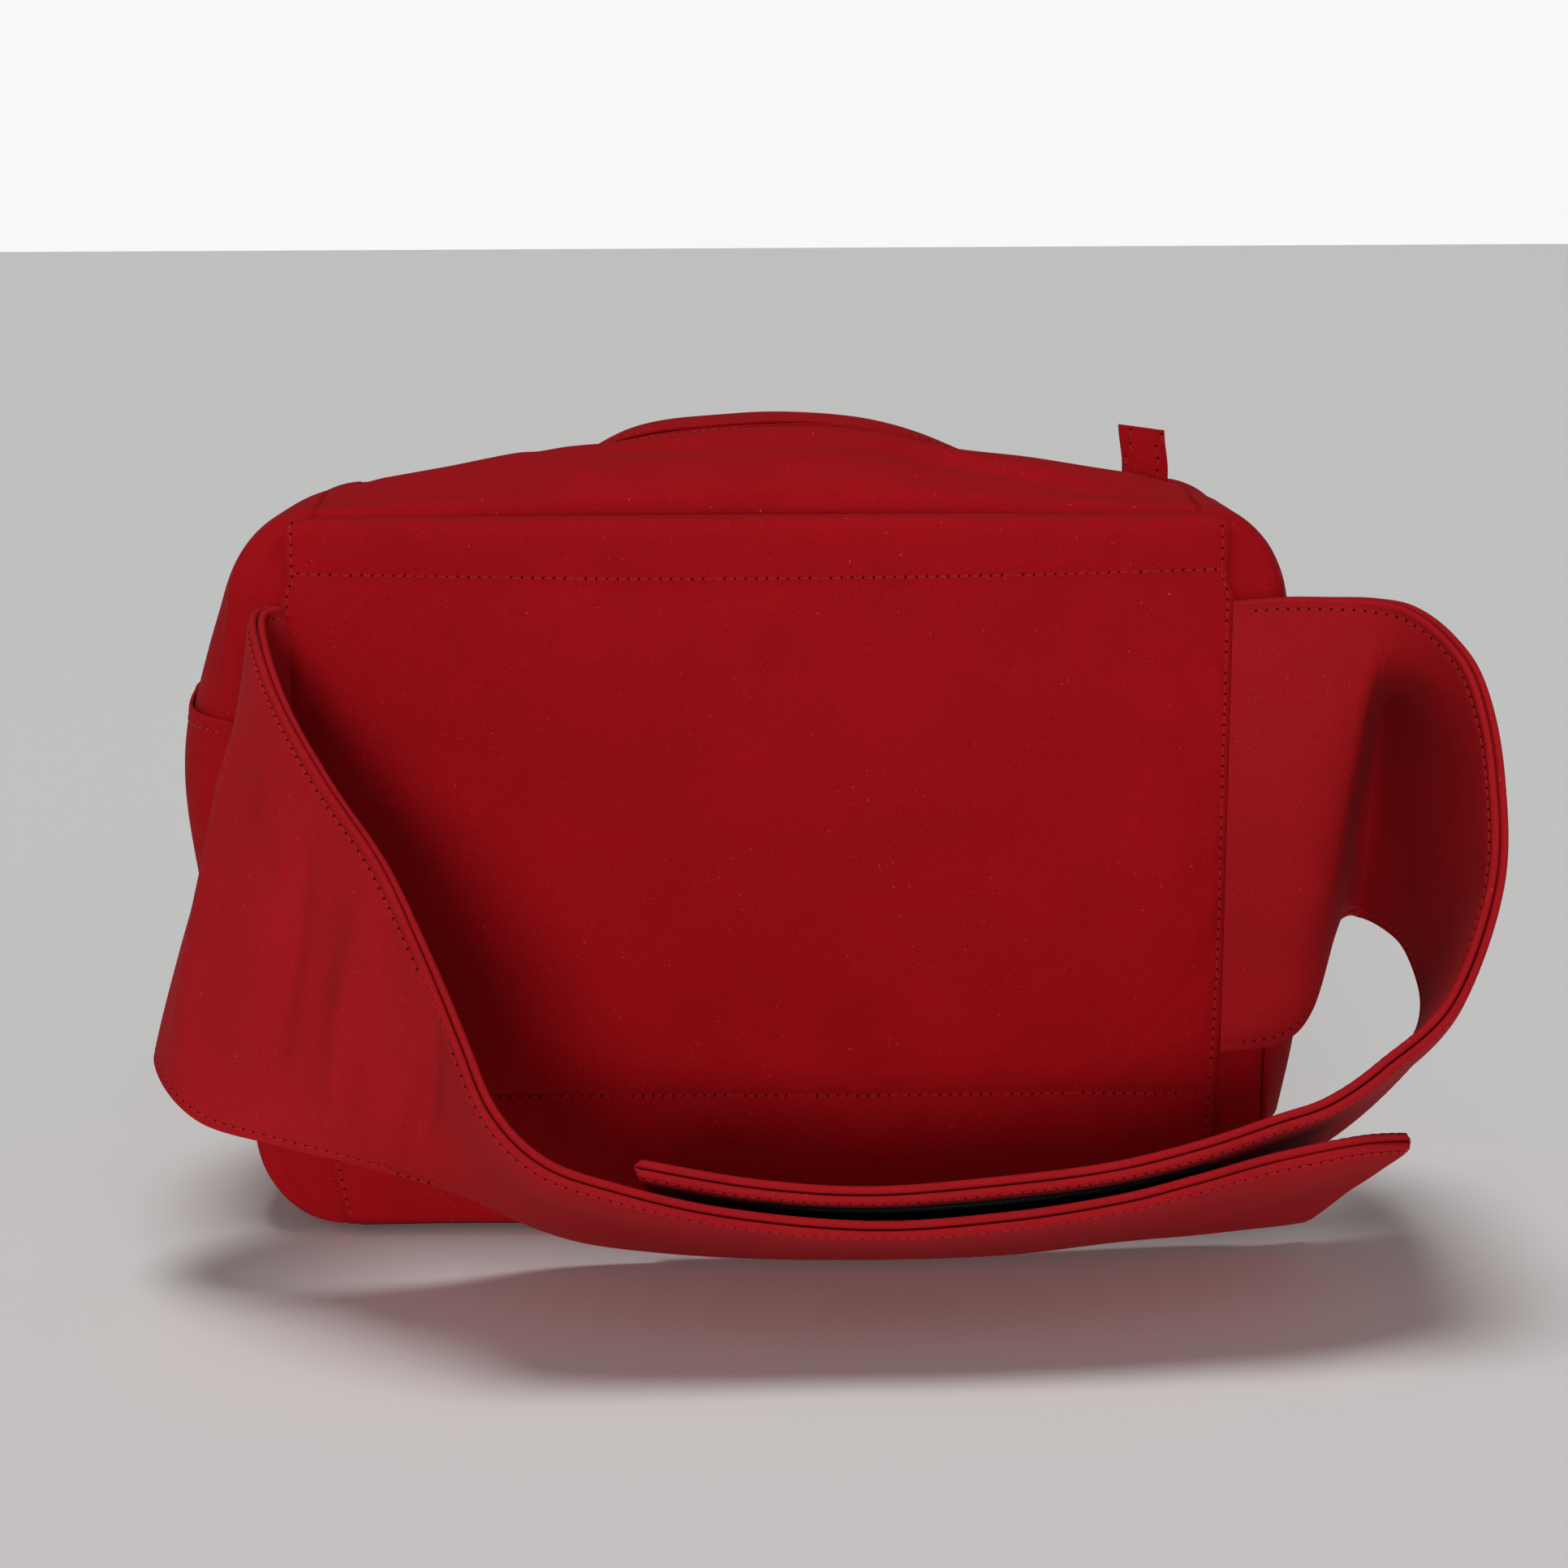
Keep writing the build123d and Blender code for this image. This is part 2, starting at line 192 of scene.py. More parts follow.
def cloth(name, colour, thread=0.0005, weave=0.12, mottle=0.10, sheen=0.015, bloom=(1, 0.50, 0.50),
          painted_glints=True):
    """Woven cloth of a colour, with a thread's width in metres."""
    material = bpy.data.materials.new(name)
    nodes, links, shader = shader_of(material)
    shader.inputs["Roughness"].default_value = 0.82
    shader.inputs["Specular IOR Level"].default_value = 0.06
    shader.inputs["Sheen Weight"].default_value = sheen
    shader.inputs["Sheen Roughness"].default_value = 0.35
    shader.inputs["Sheen Tint"].default_value = (*bloom, 1)
    place = nodes.new("ShaderNodeTexCoord")
    across = nodes.new("ShaderNodeSeparateXYZ")
    links.new(place.outputs["UV"], across.inputs[0])
    turns = np.pi / thread
    warp = math_node(nodes, links, "MULTIPLY", across.outputs[0], turns)
    weft = math_node(nodes, links, "MULTIPLY", across.outputs[1], turns)
    warp_wave = math_node(nodes, links, "SINE", warp, 0)
    weft_wave = math_node(nodes, links, "SINE", weft, 0)
    grid = math_node(nodes, links, "MULTIPLY", warp_wave, weft_wave)
    fine = noise_on(nodes, links, place.outputs["Object"], 900)
    broad = noise_on(nodes, links, place.outputs["Object"], 26, 5)
    blend = math_node(nodes, links, "ADD", fine, broad)
    paint = nodes.new("ShaderNodeVectorMath")
    paint.operation = "SCALE"
    paint.inputs[0].default_value = colour
    links.new(remap(nodes, links, blend, (0.7, 1.3), (1 - mottle, 1 + mottle)), paint.inputs["Scale"])
    colour_out = paint.outputs[0]
    # Painted highlight: a few bright glints mixed into the base colour where a thresholded noise peaks.
    if painted_glints:
        dots = noise_on(nodes, links, place.outputs["Object"], 1100, 0)
        few = remap(nodes, links, dots, (0.84, 0.88))
        colour_out = mix_colour(nodes, links, few, colour_out, PAINTED_GLINT_COLOUR)
    links.new(colour_out, shader.inputs["Base Color"])
    height = math_node(nodes, links, "ADD", grid, math_node(nodes, links, "MULTIPLY", fine, 0.7))
    raise_surface(nodes, links, shader, height, weave, 0.0002)
    return material


nylon = cloth("red_nylon", (0.346, 0.0040, 0.0076))
strap_nylon = cloth("red_strap_nylon", (0.362, 0.0085, 0.0125))
thread_material = cloth("red_thread", (0.40, 0.014, 0.019), thread=0.0003, weave=0.3, sheen=0.15,
                        painted_glints=False)
# Painted shade: near-black red of the small flat discs that stand for the shadow in each needle hole.
hole_shade_material = cloth("needle_hole_painted_shade", (0.06, 0.0010, 0.0015), sheen=0, painted_glints=False)
print("materials", len(bpy.data.materials))

# %% [markdown]
# ## Shaping a cut of cloth
# A panel of a bag starts flat. It is made here as a grid primitive, whose points are then moved to where
# the cloth hangs. That keeps its rows and columns in line with the threads, so its UV map can hold true
# lengths, and folds can be pressed in by moving points along the surface's own normal.

# %% Grid, normals and rumples
def alone(obj):
    """Select one object and make it active, with everything else deselected."""
    bpy.ops.object.select_all(action="DESELECT")
    obj.select_set(True)
    bpy.context.view_layer.objects.active = obj


def apply(obj, kind, **settings):
    """Add a modifier, set it and apply it."""
    alone(obj)
    modifier = obj.modifiers.new(kind.lower(), kind)
    for key, value in settings.items():
        setattr(modifier, key, value)
    bpy.ops.object.modifier_apply(modifier=modifier.name)


def normals(points):
    """Unit normals of a grid of points, columns first."""
    n = np.cross(np.gradient(points, axis=0), np.gradient(points, axis=1))
    return n / np.maximum(np.linalg.norm(n, axis=-1, keepdims=True), 1e-12)


def rumple(points, size, seed):
    """Smooth uneven height from about -1 to 1 at each point, with folds of about that size in metres."""
    flat = np.asarray(points).reshape(-1, 3) / size + seed
    return np.array([noise.noise(Vector(p)) for p in flat]).reshape(points.shape[:-1]) * 1.6


def lengths(points, axis):
    """Mean distance along one direction of a grid, from its start to each line."""
    steps = np.linalg.norm(np.diff(points, axis=axis), axis=-1).mean(axis=1 - axis)
    return np.concatenate([[0], np.cumsum(steps)])


def lattice(name, columns, rows, place, material):
    """A grid whose points go where place(u, v) says, u and v from 0 to 1, with a UV map in metres."""
    bpy.ops.object.select_all(action="DESELECT")
    bpy.ops.mesh.primitive_grid_add(x_subdivisions=columns, y_subdivisions=rows, size=1)
    obj = bpy.context.object
    obj.name = name
    mesh = obj.data
    co = np.zeros(len(mesh.vertices) * 3, np.float32)
    mesh.vertices.foreach_get("co", co)
    co = co.reshape(-1, 3)
    across, up = len(np.unique(co[:, 0].round(5))), len(np.unique(co[:, 1].round(5)))
    u, v = np.meshgrid(np.linspace(0, 1, across), np.linspace(0, 1, up), indexing="ij")
    points = place(u, v)
    column = np.rint((co[:, 0] + 0.5) * (across - 1)).astype(int)
    row = np.rint((co[:, 1] + 0.5) * (up - 1)).astype(int)
    mesh.vertices.foreach_set("co", points[column, row].astype(np.float32).ravel())
    cloth_uv = np.stack([lengths(points, 0)[column], lengths(points, 1)[row]], 1)
    corner = np.zeros(len(mesh.loops), np.int32)
    mesh.loops.foreach_get("vertex_index", corner)
    mesh.uv_layers[0].data.foreach_set("uv", cloth_uv[corner].astype(np.float32).ravel())
    mesh.update()
    mesh.materials.append(material)
    alone(obj)
    bpy.ops.object.shade_smooth()
    return obj


def thicken(obj, thickness):
    """Give a sheet its cloth's thickness, on the side away from its normals."""
    apply(obj, "SOLIDIFY", thickness=thickness, offset=-1, use_rim=True)


def close_up(obj, sharp):
    """Close a grid that was rolled into a tube: weld it, cap its ends, turn its faces outwards, smooth it."""
    alone(obj)
    bpy.ops.object.mode_set(mode="EDIT")
    bpy.ops.mesh.select_all(action="SELECT")
    bpy.ops.mesh.remove_doubles(threshold=1e-6)
    bpy.ops.mesh.fill_holes(sides=0)
    bpy.ops.mesh.select_all(action="SELECT")
    bpy.ops.mesh.normals_make_consistent(inside=False)
    bpy.ops.object.mode_set(mode="OBJECT")
    bpy.ops.object.shade_smooth_by_angle(angle=np.radians(sharp))


def read_points(obj):
    """The points of a mesh as an array."""
    return np.array([v.co for v in obj.data.vertices], float)


def take_model(obj):
    """Points and faces of a small model that will be copied; the model itself is removed."""
    model = read_points(obj), [list(p.vertices) for p in obj.data.polygons]
    bpy.data.objects.remove(obj)
    return model


# %% [markdown]
# ## Thread
# Every visible seam is a lockstitch with about 3.6 mm from one stitch to the next. One stitch is a low
# rounded capsule whose ends dive into the cloth. It is modelled once, from a cylinder, and copied along
# each row. A row finds the finished cloth under it, so the thread sits in the cloth wherever it has puffed
# up. Between two stitches the needle leaves a small hole, and its shade is painted as a flat dark disc.

# %% One stitch and a row of stitches
bpy.ops.object.select_all(action="DESELECT")
bpy.ops.mesh.primitive_cylinder_add(vertices=6, radius=1, depth=2, rotation=(0, np.pi / 2, 0))
stitch_model = bpy.context.object
bpy.ops.object.transform_apply(location=False, rotation=True, scale=True)
bpy.ops.object.mode_set(mode="EDIT")
bpy.ops.mesh.select_all(action="SELECT")
bpy.ops.mesh.bevel(offset=0.45, segments=2, affect="EDGES")
bpy.ops.object.mode_set(mode="OBJECT")
STITCH_POINTS, STITCH_FACES = take_model(stitch_model)
PITCH, STITCH_HALF, STITCH_RADIUS = 0.0036, 0.00142, 0.00042


def along_line(line, pitch):
    """Evenly spaced points along a line of points, with the direction at each."""
    line = np.asarray(line, float)
    far = np.concatenate([[0], np.cumsum(np.linalg.norm(np.diff(line, axis=0), axis=1))])
    at = np.arange(pitch / 2, far[-1], pitch)
    spot = np.stack([np.interp(at, far, line[:, k]) for k in range(3)], 1)
    ahead = np.stack([np.interp(at + 1e-4, far, line[:, k]) for k in range(3)], 1)
    behind = np.stack([np.interp(at - 1e-4, far, line[:, k]) for k in range(3)], 1)
    return spot, ahead - behind


def copies(name, model_points, model_faces, places, material):
    """One mesh of many copies of a small shape; each place is an origin and three axes."""
    verts, faces = [], []
    for origin, axes in places:
        start = len(verts) * len(model_points)
        verts.append(model_points @ np.asarray(axes) + origin)
        faces += [[i + start for i in face] for face in model_faces]
    mesh = bpy.data.meshes.new(name)
    mesh.from_pydata(np.concatenate(verts).tolist(), [], faces)
    mesh.materials.append(material)
    obj = bpy.data.objects.new(name, mesh)
    bpy.context.collection.objects.link(obj)
    alone(obj)
    bpy.ops.object.shade_smooth()
    return obj


def sew(name, pieces, rows, material=thread_material, travel=None):
    """Rows of stitches on the finished pieces: where a ray along travel lands, or on the nearest surface."""
    trees = []
    for piece in pieces:
        corners = [list(f.vertices) for f in piece.data.polygons]
        trees.append(BVHTree.FromPolygons([v.co for v in piece.data.vertices], corners))
    places, pit_shades = [], []
    for line in rows:
        for number, (spot, ahead) in enumerate(zip(*along_line(line, PITCH))):
            start = Vector(spot)
            hits = [tree.ray_cast(start, travel) if travel else tree.find_nearest(start) for tree in trees]
            hit = min(hits, key=lambda h: h[3] or 9)
            up = np.array(hit[1])
            forward = ahead - up * (ahead @ up)
            forward = forward / np.linalg.norm(forward)
            side = np.cross(up, forward)
            slant = 0.07 * side * (1 + 0.25 * np.sin(number * 2.3))
            axes = [(forward + slant) * STITCH_HALF, side * STITCH_RADIUS, up * STITCH_RADIUS * 0.8]
            places.append((np.array(hit[0]) + up * STITCH_RADIUS * 0.2, axes))
            # Painted shade: a flat dark disc between two stitches, where the needle hole lies in shadow.
            pit_shade = [forward * 0.00040, side * 0.00055, up * 0.00014]
            pit_shades.append((np.array(hit[0]) + forward * PITCH / 2, pit_shade))
    thread = copies(name, STITCH_POINTS, STITCH_FACES, places, material)
    hole_shades = copies(name + "_holes", STITCH_POINTS, STITCH_FACES, pit_shades, hole_shade_material)
    alone(thread)
    hole_shades.select_set(True)
    bpy.ops.object.join()
    return thread


print("stitch faces", len(STITCH_FACES))

# %% [markdown]
# ## The bag's outline
# Back and front are rounded rectangles; between them the gusset swells outwards at the sides and humps up
# along the top, and it is flat where the bag stands. Two closed lines are enough: the outline at a seam and
# the outline where the gusset swells most. Every point between them is a mix of the two, by how far it is
# from the seams.

# %% Outline at a seam and at the fullest
HALF_WIDTH, TOP_Z, BASE_Z, SEAM_Y, CORNER = 0.177, 0.2545, 0.0016, 0.057, 0.029


def rounded(first, second):
    """Round corner between the end of one line and the start of the next."""
    p, q = first[-1], second[0]
    reach = 0.39 * np.linalg.norm(q - p)
    r = p + reach * (first[-1] - first[-2]) / np.linalg.norm(first[-1] - first[-2])
    s = q + reach * (second[0] - second[1]) / np.linalg.norm(second[0] - second[1])
    t = np.linspace(0, 1, 26)[1:-1, None]
    return (1 - t) ** 3 * p + 3 * (1 - t) ** 2 * t * r + 3 * (1 - t) * t ** 2 * s + t ** 3 * q


def outline(swell):
    """Closed line round the bag, x and z, from the left end of its top and to the right."""
    x = np.linspace(CORNER - HALF_WIDTH, HALF_WIDTH - CORNER, 121)
    hump = 0.027 * np.exp(-(x / 0.114) ** 2) - 0.002 + 0.0022 * np.exp(-((x - 0.035) / 0.03) ** 2)
    top = np.stack([x, TOP_Z + swell * hump], 1)
    z = np.linspace(TOP_Z - CORNER, BASE_Z + CORNER, 91)
    bow = 1 - ((z - 0.128) / 0.1265) ** 2
    right = np.stack([HALF_WIDTH + swell * 0.017 * bow, z], 1)
    base = np.stack([x[::-1], np.full(121, BASE_Z * (1 - swell))], 1)
    left = right[::-1] * (-1, 1)
    sides = [top, right, base, left]
    parts = []
    for first, second in zip(sides, sides[1:] + sides[:1]):
        parts += [first, rounded(first, second)]
    return np.concatenate(parts + [top[:1]])


seam_line, full_line = outline(0.0), outline(1.0)
ROUND = np.concatenate([[0], np.cumsum(np.linalg.norm(np.diff(seam_line, axis=0), axis=1))])


def round_at(x, z):
    """Distance round the seam of the point nearest to x and z."""
    return ROUND[np.linalg.norm(seam_line - (x, z), axis=1).argmin()]


def bag_surface(distance, y):
    """Points on the swelling gusset at a distance round the seam and a depth."""
    swell = 1 - np.abs(y / SEAM_Y) ** 3.7 - 0.04 * np.exp(-(y / 0.009) ** 2)
    far = np.mod(distance, ROUND[-1])
    x = [np.interp(far, ROUND, line[:, 0]) for line in (seam_line, full_line)]
    z = [np.interp(far, ROUND, line[:, 1]) for line in (seam_line, full_line)]
    return np.stack([x[0] + swell * (x[1] - x[0]), y, z[0] + swell * (z[1] - z[0])], -1)


print("round the seam", round(ROUND[-1], 3))

# %% [markdown]
# ## Folds that a sewn gusset has
# A gusset is sewn into two tight seams and hangs free between them. Beside a seam it rolls over into a
# small channel, and short tucks run away from it; further off, the cloth only undulates. One function adds
# those three to any gusset panel.

# %% Relief of a gusset panel
def seam_relief(points, distance, y, seed, calm=1.0):
    """Height of the rolls, tucks and waves of a gusset."""
    gap = SEAM_Y - np.abs(y)
    roll = -0.0022 * np.exp(-(gap / 0.0018) ** 2) + 0.0012 * np.exp(-((gap - 0.0055) / 0.003) ** 2)
    wander = 0.4 * rumple(points, 0.03, seed)
    tucks = 0.00042 * np.sin(distance / 0.0052 + 5 * wander) * np.exp(-gap / 0.011)
    tucks = tucks * rumple(points, 0.022, seed + 3)
    waves = calm * (0.0011 * rumple(points, 0.075, seed + 7) + 0.0005 * rumple(points, 0.028, seed + 9))
    return roll + tucks + waves * np.clip(gap / 0.012, 0, 1)


def gusset(name, start, stop, y0, y1, columns, rows, seed, extra=None, calm=1.0):
    """One cut of the gusset, from start to stop round the seam and between two depths."""
    def place(u, v):
        distance, y = start + (stop - start) * u, y0 + (y1 - y0) * v
        base = bag_surface(distance, y)
        height = seam_relief(base, distance, y, seed, calm)
        if extra is not None:
            height = height + extra(base, y)
        moved = base + normals(base) * height[..., None]
        moved[..., 2] = np.maximum(moved[..., 2], 0.0)
        return moved
    piece = lattice(name, columns, rows, place, nylon)
    thicken(piece, 0.0011)
    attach(piece, "bag")
    return piece


LEFT_END = round_at(-0.150, TOP_Z) - ROUND[-1]
RIGHT_END = round_at(0.150, TOP_Z)
RIGHT_FOOT = round_at(HALF_WIDTH, 0.034)
LEFT_FOOT = round_at(-HALF_WIDTH, 0.034)
print("panels start at", [round(float(d), 3) for d in (LEFT_END, RIGHT_END, RIGHT_FOOT, LEFT_FOOT)])

# %% [markdown]
# ## Top strips
# Two long strips run along the top, one each side of the zip. Each humps up into a soft ridge beside the
# zip. The rear ridge is creased along its crest, and the front one stands a little higher, so that both
# show one behind the other. Their free edges are folded down beside the zip.

# %% Rear and front top strips
def crease(points, a, b, width, height):
    """Height of a soft ridge (or, if negative, a crease) along a line from a to b, seen from above."""
    a, b = np.array(a), np.array(b)
    along = ((points[..., :2] - a) @ (b - a)) / ((b - a) @ (b - a))
    foot = a + np.clip(along, 0, 1)[..., None] * (b - a)
    gap = np.linalg.norm(points[..., :2] - foot, axis=-1)
    return height * np.exp(-(gap / width) ** 2)


def zip_sag(p, y):
    """How far the top sinks from its rear ridge towards the front, except round its middle."""
    x = p[..., 0]
    middle = 1 / (1 + np.exp((-0.058 - x) / 0.006)) / (1 + np.exp((x - 0.078) / 0.010))
    ends = np.clip((0.166 - np.abs(x)) / 0.035, 0, 1) * (p[..., 2] > 0.2)
    sink = 0.21 * np.clip(y + 0.018, 0, 0.040) * np.clip((SEAM_Y - y) / 0.02, 0, 1)
    lift = 0.0042 * np.exp(-((y + 0.018) / 0.018) ** 2)
    return (sink - lift) * (1 - middle) * ends


def rear_ridge(p, y):
    """Crest folds of the rear strip."""
    middle = np.exp(-((p[..., 0] - 0.01) / 0.075) ** 2)
    crest = 0.0016 * np.exp(-((y + 0.019) / 0.006) ** 2) * middle
    dip = -0.0030 * np.exp(-((y + 0.031) / 0.011) ** 2) * middle
    folds = crease(p, (0.045, -0.020), (0.115, -0.034), 0.005, 0.0018)
    folds = folds + crease(p, (0.050, -0.028), (0.120, -0.043), 0.004, -0.0016)
    folds = folds + crease(p, (-0.075, -0.020), (-0.020, -0.027), 0.005, -0.0014)
    return crest + dip + folds - zip_sag(p, y)


def front_ridge(p, y):
    """Fullness of the front strip."""
    full = 0.0034 * np.exp(-((y - 0.021) / 0.012) ** 2) * np.exp(-(p[..., 0] / 0.085) ** 2)
    return full - zip_sag(p, y)


ZIP_SIDE = 0.0072
rear_strip = gusset("top_strip_rear_cloth", LEFT_END, RIGHT_END, -SEAM_Y, -0.0070, 150, 34, 11, rear_ridge)
front_strip = gusset("top_strip_front_cloth", LEFT_END, RIGHT_END, 0.0070, SEAM_Y, 150, 34, 23, front_ridge)
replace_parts(rear_strip, "top_strip_rear")
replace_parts(front_strip, "top_strip_front")


ZIP_TOP, ZIP_RADIUS = 0.2675, 0.560


def zip_arch(x):
    """Height of the zip's tape at x."""
    return ZIP_TOP - ZIP_RADIUS + np.sqrt(ZIP_RADIUS ** 2 - x ** 2)


def lip(side):
    """Folded edge that hangs from a top strip beside the zip."""
    def place(u, v):
        x = -0.134 + 0.262 * u
        y = np.full_like(x, side * ZIP_SIDE)
        top = bag_surface(x + 0.148, y)
        low = zip_arch(x) + 0.0006
        top[..., 2] -= zip_sag(top, y)
        z = top[..., 2] + 0.0002 + (np.minimum(low, top[..., 2] - 0.001) - top[..., 2]) * v
        return np.stack([x, y, z], -1)
    return place


for name, side in (("rear", -1), ("front", 1)):
    edge = lattice(f"zip_lip_{name}", 120, 6, lip(side), nylon)
    thicken(edge, 0.0011 * side)
    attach(edge, "bag")
lip_rows = [bag_surface(np.linspace(0.014, 0.276, 90), np.full(90, side * 0.0105)) for side in (-1, 1)]
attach(sew("zip_topstitch", [rear_strip, front_strip], lip_rows), "bag")
print("top", [round(x, 4) for x in rear_strip.dimensions])

# %% [markdown]
# ## Side gussets, base and zip end covers
# The rest of the gusset: two side panels that swell outwards, the base that the bag stands on, and two
# short covers that close the gap between the top strips beyond the zip. The side panels have long vertical
# waves where the contents press them out.

# %% Side gussets, base, end covers
def left_fullness(p, y):
    """How much further the left side swells than the right one, at the height where the contents press."""
    wide = np.clip(1 - (y / SEAM_Y) ** 2, 0, 1)
    return 0.0125 * (p[..., 0] < 0) * wide * np.exp(-((p[..., 2] - 0.172) / 0.050) ** 2)


def side_waves(p, y):
    """Long upright waves of a side panel, and the fuller left side."""
    waves = 0.0016 * np.sin(y / 0.0085 + 2.0 * rumple(p, 0.12, 31))
    waves = waves * np.sin(np.clip(p[..., 2] / 0.25, 0, 1) * np.pi)
    return left_fullness(p, y) + waves - zip_sag(p, y)


def cover_sag(p, y):
    """Sag of a zip end cover, the same as that of the top strips beside it."""
    return -zip_sag(p, y)


right_gusset = gusset("side_gusset_right_cloth", RIGHT_END, RIGHT_FOOT, -SEAM_Y, SEAM_Y, 90, 44, 37,
                      side_waves)
left_gusset = gusset("side_gusset_left_cloth", LEFT_FOOT, LEFT_END + ROUND[-1], -SEAM_Y, SEAM_Y, 90, 44, 43,
                     side_waves)
base_cloth = gusset("base_gusset_cloth", RIGHT_FOOT, LEFT_FOOT, -SEAM_Y, SEAM_Y, 130, 36, 51, calm=0.5)
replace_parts(right_gusset, "side_gusset_right")
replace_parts(left_gusset, "side_gusset_left")
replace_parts(base_cloth, "base_gusset")
for name, start, stop in (("left", LEFT_END, 0.0142), ("right", 0.2758, RIGHT_END)):
    cover = gusset(f"zip_end_cover_{name}_cloth", start, stop, -ZIP_SIDE, ZIP_SIDE, 12, 10, 61, cover_sag)
    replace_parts(cover, f"zip_end_cover_{name}")
print("gusset pieces made")

# %% [markdown]
# ## Side pockets
# A slim open pocket lies on each side gusset. It is one cut of cloth caught in both seams, a little fuller
# than the gusset, so its mouth stands off. The mouth is a double hem with one row of stitches.

# %% Side pockets
MOUTH_Z, HEM_ROW_Z, POCKET_FOOT_Z = 0.184, 0.1802, 0.038


def pocket(side, start, stop):
    """Pocket on one side gusset; start and stop run round the seam."""
    name = "right" if side > 0 else "left"

    def place(u, v):
        distance, y = start + (stop - start) * u, 0.998 * (-SEAM_Y + 2 * SEAM_Y * v)
        base = bag_surface(distance, y)
        full = np.clip(1 - np.abs(y / SEAM_Y) ** 3, 0, 1)
        up = np.clip((base[..., 2] - POCKET_FOOT_Z) / (MOUTH_Z - POCKET_FOOT_Z), 0, 1)
        hem = 0.0006 / (1 + np.exp((0.0042 - np.abs(MOUTH_Z - base[..., 2])) / -0.0004))
        slack = 0.0021 + full * (0.0004 + 0.0024 * np.sin(np.pi * up))
        waves = 0.0008 * rumple(base, 0.05, 71) * full * (1 - up ** 3)
        pinch = -0.0005 * np.exp(-((base[..., 2] - HEM_ROW_Z) / 0.0009) ** 2)
        height = slack + waves + hem + pinch + side_waves(base, y)
        return base + normals(base) * height[..., None]
    piece = lattice(f"side_pocket_{name}_cloth", 90, 44, place, nylon)
    thicken(piece, 0.0012)
    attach(piece, "bag")
    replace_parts(piece, f"side_pocket_{name}")
    y = np.linspace(-0.056, 0.056, 60)
    rows = [[(side * 0.212, d, HEM_ROW_Z) for d in y]]
    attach(sew(f"pocket_hem_stitches_{name}", [piece], rows, travel=Vector((-side, 0, 0))), "bag")


pocket(1, round_at(HALF_WIDTH, MOUTH_Z), round_at(HALF_WIDTH, POCKET_FOOT_Z))
pocket(-1, round_at(-HALF_WIDTH, POCKET_FOOT_Z), round_at(-HALF_WIDTH, MOUTH_Z))
print("pockets made")

# %% [markdown]
# ## Back and front panels
# Both are rounded rectangles of cloth, sewn to the gusset all round. A grid fits a rounded rectangle if
# each row is made only as wide as the outline is at that height. Close to the seam the cloth rolls over
# into it.

# %% Back and front panels
def row_half_width(z, inset=0.0):
    """Half the width of the rounded rectangle at height z."""
    low, high = BASE_Z + inset, TOP_Z - inset
    r = CORNER - inset
    into = np.clip(np.maximum(low + r - z, z - high + r), 0, r)
    return HALF_WIDTH - inset - r + np.sqrt(np.maximum(r * r - into * into, 0))


def flat_panel(name, y, side, seed, relief):
    """Rounded rectangle of cloth at depth y; side is the way it faces along Y."""
    def place(u, v):
        z = BASE_Z + (TOP_Z - BASE_Z) * (0.5 - 0.5 * np.cos(np.pi * v))
        a = -side * np.sin(np.pi * (u - 0.5))
        half = row_half_width(z)
        x = a * half
        edge = np.minimum(half - np.abs(x), np.minimum(z - BASE_Z, TOP_Z - z))
        p = np.stack([x, np.full_like(x, y), z], -1)
        roll = 0.0012 * (1 - np.exp(-edge / 0.0016)) + 0.0008 * np.exp(-((edge - 0.005) / 0.003) ** 2)
        waves = relief * rumple(p, 0.06, seed) + 0.0004 * rumple(p, 0.018, seed + 5)
        tucks = 0.0004 * np.sin((x + z) / 0.0045 + rumple(p, 0.03, seed)) * np.exp(-edge / 0.007)
        p[..., 1] += side * (roll + (waves + tucks) * np.clip(edge / 0.008, 0, 1))
        return p
    piece = lattice(name, 150, 110, place, nylon)
    thicken(piece, 0.0011)
    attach(piece, "bag")
    return piece


back_cloth = flat_panel("back_panel_cloth", -SEAM_Y, -1, 81, 0.0004)
front_cloth = flat_panel("front_panel_cloth", SEAM_Y - 0.0004, 1, 87, 0.0013)
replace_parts(back_cloth, "back_panel")
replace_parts(front_cloth, "front_panel")
print("panels made")

# %% [markdown]
# ## Padded back overlay
# A foam pad lies on the back under its own cloth, which is folded under at both sides and caught in the
# seams above and below. Topstitching runs down both sides and in two rows across. Between the rows the foam
# pushes the cloth out, and at the rows it pulls in. Real cloth does that by itself, so the pad is
# simulated: the points on the rows are pinned, the cloth is cut a little large, pressure swells it for 20
# frames, and its travel is capped.

# %% Overlay shape
OVERLAY_Y, OVERLAY_MOST, OVERLAY_HALF = -0.0640, -0.0690, 0.1618
UPPER_ROW, LOWER_ROW = 0.2352, 0.0506
INSIDE = 0.0026


def overlay_edge(z, side):
    """x of the overlay's folded side edge at height z."""
    z = np.asarray(z, float)
    step = 0.0022 / (1 + np.exp((0.2305 - z) / 0.0006))
    narrow = (0.0045 if side > 0 else 0.0150) * np.clip((0.110 - z) / 0.110, 0, 1) ** 1.6
    return side * (OVERLAY_HALF - step - narrow)


def row_height(x, row):
    """Height of a row of stitches across the overlay at x; the upper row sags a little in the middle."""
    sag = np.cos(np.clip(np.asarray(x, float) / OVERLAY_HALF, -1, 1) * np.pi / 2)
    return row + (0.0008 - 0.0026 * sag) * (row > 0.1)


